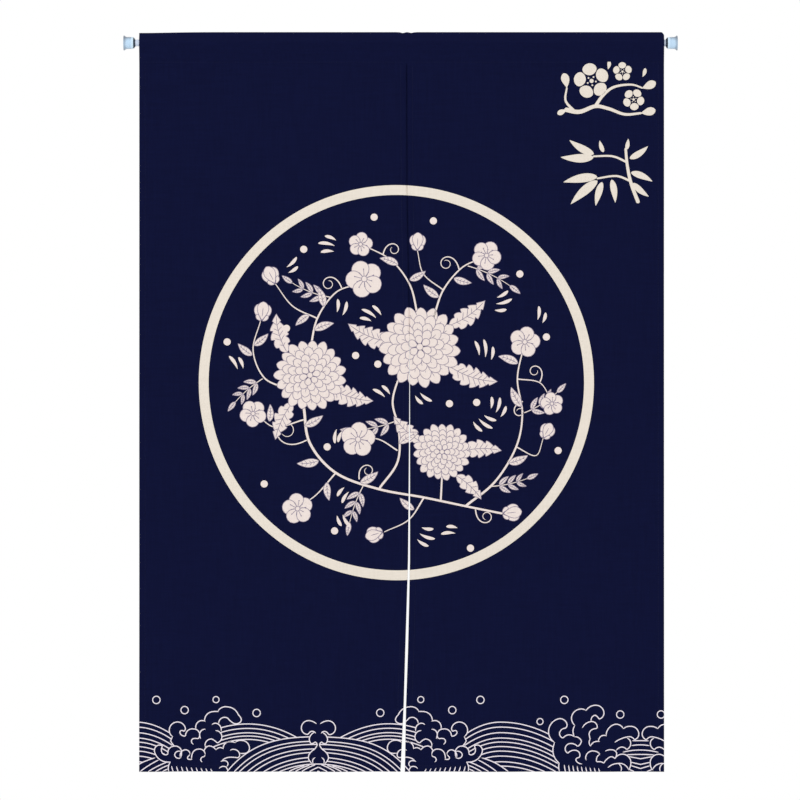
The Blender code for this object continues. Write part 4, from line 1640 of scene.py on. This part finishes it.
page = Page(LOWER_MOTIF, [], [], [])
draw_stem([(52, -46), (40, -14), (34, 14), (31, 44)], 6.0, 4.0)
draw_stem([(39, -10), (16, -2), (-16, -6)], 3.6, 2.8)
draw_stem([(34, 20), (10, 30), (-22, 30)], 3.6, 2.8)
for base, heading, length, bend in (
    ((-18, 33), 158, 46, -20),
    ((-18, 29), 186, 54, -16),
    ((-4, 36), 116, 20, -20),
    ((-12, -3), 184, 56, 14),
    ((-12, -8), 216, 58, 14),
    ((-6, -10), 250, 40, 12),
    ((8, -6), 284, 38, -14),
    ((36, 26), 24, 36, 26),
    ((38, 4), -14, 38, -24),
    ((42, -12), -48, 34, 20),
    ((32, 40), 74, 18, 16),
):
    leaf_shape = blade(base, heading, length, length * 0.2 + 3.0, bend, 0.72, 0.85)
    draw_shape(both_sides(*leaf_shape), outlined=False)
print_page("print_bamboo", cream_ink)


# Stitching
# Navy polyester thread in lock stitches about 4 mm long. It holds the pocket, the side hems, the
# slit's hems and the foot hems, and each row shows on both faces of the cloth.
STITCH_PITCH = 0.0040
STITCH_LENGTH = 0.0031
THREAD_HALF_WIDTH = 0.00024
# Share along a stitch, share of its full girth there, and rise out of the cloth in metres
STITCH_SHAPE = ((0.0, 0.35, -0.00008), (0.22, 0.9, 0.00008), (0.78, 0.9, 0.00008), (1.0, 0.35, -0.00008))
THREAD_SIDES = 5


def along_front(side, across, drop):
    """Places on the front of a panel below its pocket."""
    depth = front_depth(side, across, drop)
    return np.column_stack([CLOTH_LEFT + across, depth, TOP_ABOVE_ROD - drop])


def stitch_lines(side):
    """Front places of a panel's three rows of hem stitches, and of its pocket row."""
    top = POCKET_DEPTH + 0.003
    foot = CLOTH_HEIGHT - STITCH_INSET
    drops = np.arange(top, foot, STITCH_PITCH)
    edge = inner_edge(side, drops)
    inward = 1.0 if side == "left" else -1.0
    outer = np.full_like(drops, STITCH_INSET if side == "left" else CLOTH_WIDTH - STITCH_INSET)
    foot_edge = float(inner_edge(side, foot)) - inward * STITCH_INSET
    foot_run = np.arange(outer[0], foot_edge, inward * STITCH_PITCH)
    top_edge = float(inner_edge(side, POCKET_DEPTH)) - inward * 0.002
    pocket_run = np.arange(outer[0] - inward * (STITCH_INSET - 0.002), top_edge, inward * STITCH_PITCH)
    hems = [
        along_front(side, outer, drops),
        along_front(side, edge - inward * STITCH_INSET, drops),
        along_front(side, foot_run, np.full_like(foot_run, foot)),
    ]
    stitch_out = np.full_like(pocket_run, -(SEAM_GAP / 2 + SOLID_THICKNESS))
    height = np.full_like(pocket_run, TOP_ABOVE_ROD - POCKET_DEPTH + 0.0012)
    return hems, np.column_stack([CLOTH_LEFT + pocket_run, stitch_out, height])


def sew_rows(name, rows, outward):
    """One piece of thread for rows of places, on the face of the cloth that looks outward on Y."""
    points = []
    faces = []
    for row in rows:
        for start, stop in zip(row, row[1:]):
            along = (stop - start) / np.linalg.norm(stop - start)
            sideways = np.cross(along, (0.0, outward, 0.0))
            first = len(points)
            for share, girth, rise in STITCH_SHAPE:
                middle = start + along * STITCH_LENGTH * share + np.array((0.0, outward * rise, 0.0))
                for turn in np.linspace(0.0, math.tau, THREAD_SIDES, endpoint=False):
                    across = sideways * math.cos(turn) * girth * THREAD_HALF_WIDTH
                    out = np.array((0.0, outward, 0.0)) * math.sin(turn) * girth * THREAD_HALF_WIDTH * 0.7
                    points.append(middle + across + out)
            for ring in range(len(STITCH_SHAPE) - 1):
                for index in range(THREAD_SIDES):
                    low = first + ring * THREAD_SIDES + index
                    next_low = first + ring * THREAD_SIDES + (index + 1) % THREAD_SIDES
                    faces.append((low, next_low, next_low + THREAD_SIDES, low + THREAD_SIDES))
            last = first + (len(STITCH_SHAPE) - 1) * THREAD_SIDES
            faces.append(tuple(range(first, first + THREAD_SIDES))[::-1])
            faces.append(tuple(range(last, last + THREAD_SIDES)))
    mesh = bpy.data.meshes.new(name)
    mesh.from_pydata(points, [], faces)
    shape = bmesh.new()
    shape.from_mesh(mesh)
    bmesh.ops.recalc_face_normals(shape, faces=shape.faces)
    shape.to_mesh(mesh)
    shape.free()
    mesh.shade_smooth()
    thread = bpy.data.objects.new(name, mesh)
    bpy.context.scene.collection.objects.link(thread)
    return thread


def navy_thread():
    # Twisted polyester: a little shinier than the cotton
    material, tree, shader = start_material("navy_polyester_thread", Roughness=0.6, Specular_IOR_Level=0.2)
    place = add_node(tree, "ShaderNodeTexCoord", {})
    twist = add_node(tree, "ShaderNodeTexNoise", {"Vector": place.outputs["Object"], "Scale": 2500.0})
    ramp = add_node(tree, "ShaderNodeValToRGB", {"Fac": twist.outputs["Fac"]})
    ramp.color_ramp.elements[0].color = to_linear("0A0E2C")
    ramp.color_ramp.elements[1].color = to_linear("171C42")
    tree.links.new(ramp.outputs["Color"], shader.inputs["Base Color"])
    return material


thread_material = navy_thread()
for side in ("left", "right"):
    hems, pocket_row = stitch_lines(side)
    dress(sew_rows("thread_front_" + side, [*hems, pocket_row], -1.0), thread_material)
    behind = [row + np.array((0.0, HEM_THICKNESS, 0.0)) for row in hems]
    behind.append(pocket_row * np.array((1.0, -1.0, 1.0)))
    dress(sew_rows("thread_back_" + side, behind, 1.0), thread_material)


# Studio
# A pale floor well below the foot of the cloth, as under a doorway, soft even light and a long
# lens straight in front, as the photograph has them.
FLOOR_BELOW_ROD = 2.0
FLOOR_SIZE = 5.0
LENS = 200.0
SENSOR = 36.0
FRAME_PIXELS = 800
VIEW_CENTRE = ((400 - 123.6) * PIXEL, (42.9 - 400) * PIXEL)

bpy.ops.object.select_all(action="DESELECT")
bpy.ops.mesh.primitive_plane_add(size=FLOOR_SIZE, location=(VIEW_CENTRE[0], 0.0, -FLOOR_BELOW_ROD))
floor = bpy.context.object
floor.name = "floor"
# Plain matt card
floor_material, _, floor_shader = start_material("pale_floor", Roughness=0.9)
floor_shader.inputs["Base Color"].default_value = to_linear("F2F2F2")
floor.data.materials.append(floor_material)

world = bpy.data.worlds.new("pale_studio")
world.use_nodes = True
world.node_tree.nodes["Background"].inputs["Color"].default_value = (1.0, 1.0, 1.0, 1.0)
world.node_tree.nodes["Background"].inputs["Strength"].default_value = 1.0
bpy.context.scene.world = world
bpy.context.scene.view_settings.view_transform = "Standard"

Lamp = namedtuple("Lamp", "name place size power")
LAMPS = (
    Lamp("soft_key", (-1.2, -3.0, 1.2), 1.6, 14.0),
    Lamp("soft_back", (1.8, 2.6, 0.8), 1.6, 10.0),
)
for lamp in LAMPS:
    light = bpy.data.lights.new(lamp.name, "AREA")
    light.size = lamp.size
    light.energy = lamp.power
    holder = bpy.data.objects.new(lamp.name, light)
    holder.location = lamp.place
    aim = np.array((VIEW_CENTRE[0], 0.0, VIEW_CENTRE[1])) - np.array(lamp.place)
    from_above = math.atan2(math.hypot(aim[0], aim[1]), -aim[2])
    holder.rotation_euler = (from_above, 0.0, math.atan2(aim[1], aim[0]) - math.pi / 2)
    bpy.context.scene.collection.objects.link(holder)

camera_data = bpy.data.cameras.new("camera")
camera_data.lens = LENS
camera_data.sensor_width = SENSOR
camera = bpy.data.objects.new("camera", camera_data)
view_distance = FRAME_PIXELS * PIXEL * LENS / SENSOR
camera.location = (VIEW_CENTRE[0], -view_distance - 0.0015, VIEW_CENTRE[1])
camera.rotation_euler = (math.pi / 2, 0.0, 0.0)
bpy.context.scene.collection.objects.link(camera)
bpy.context.scene.camera = camera
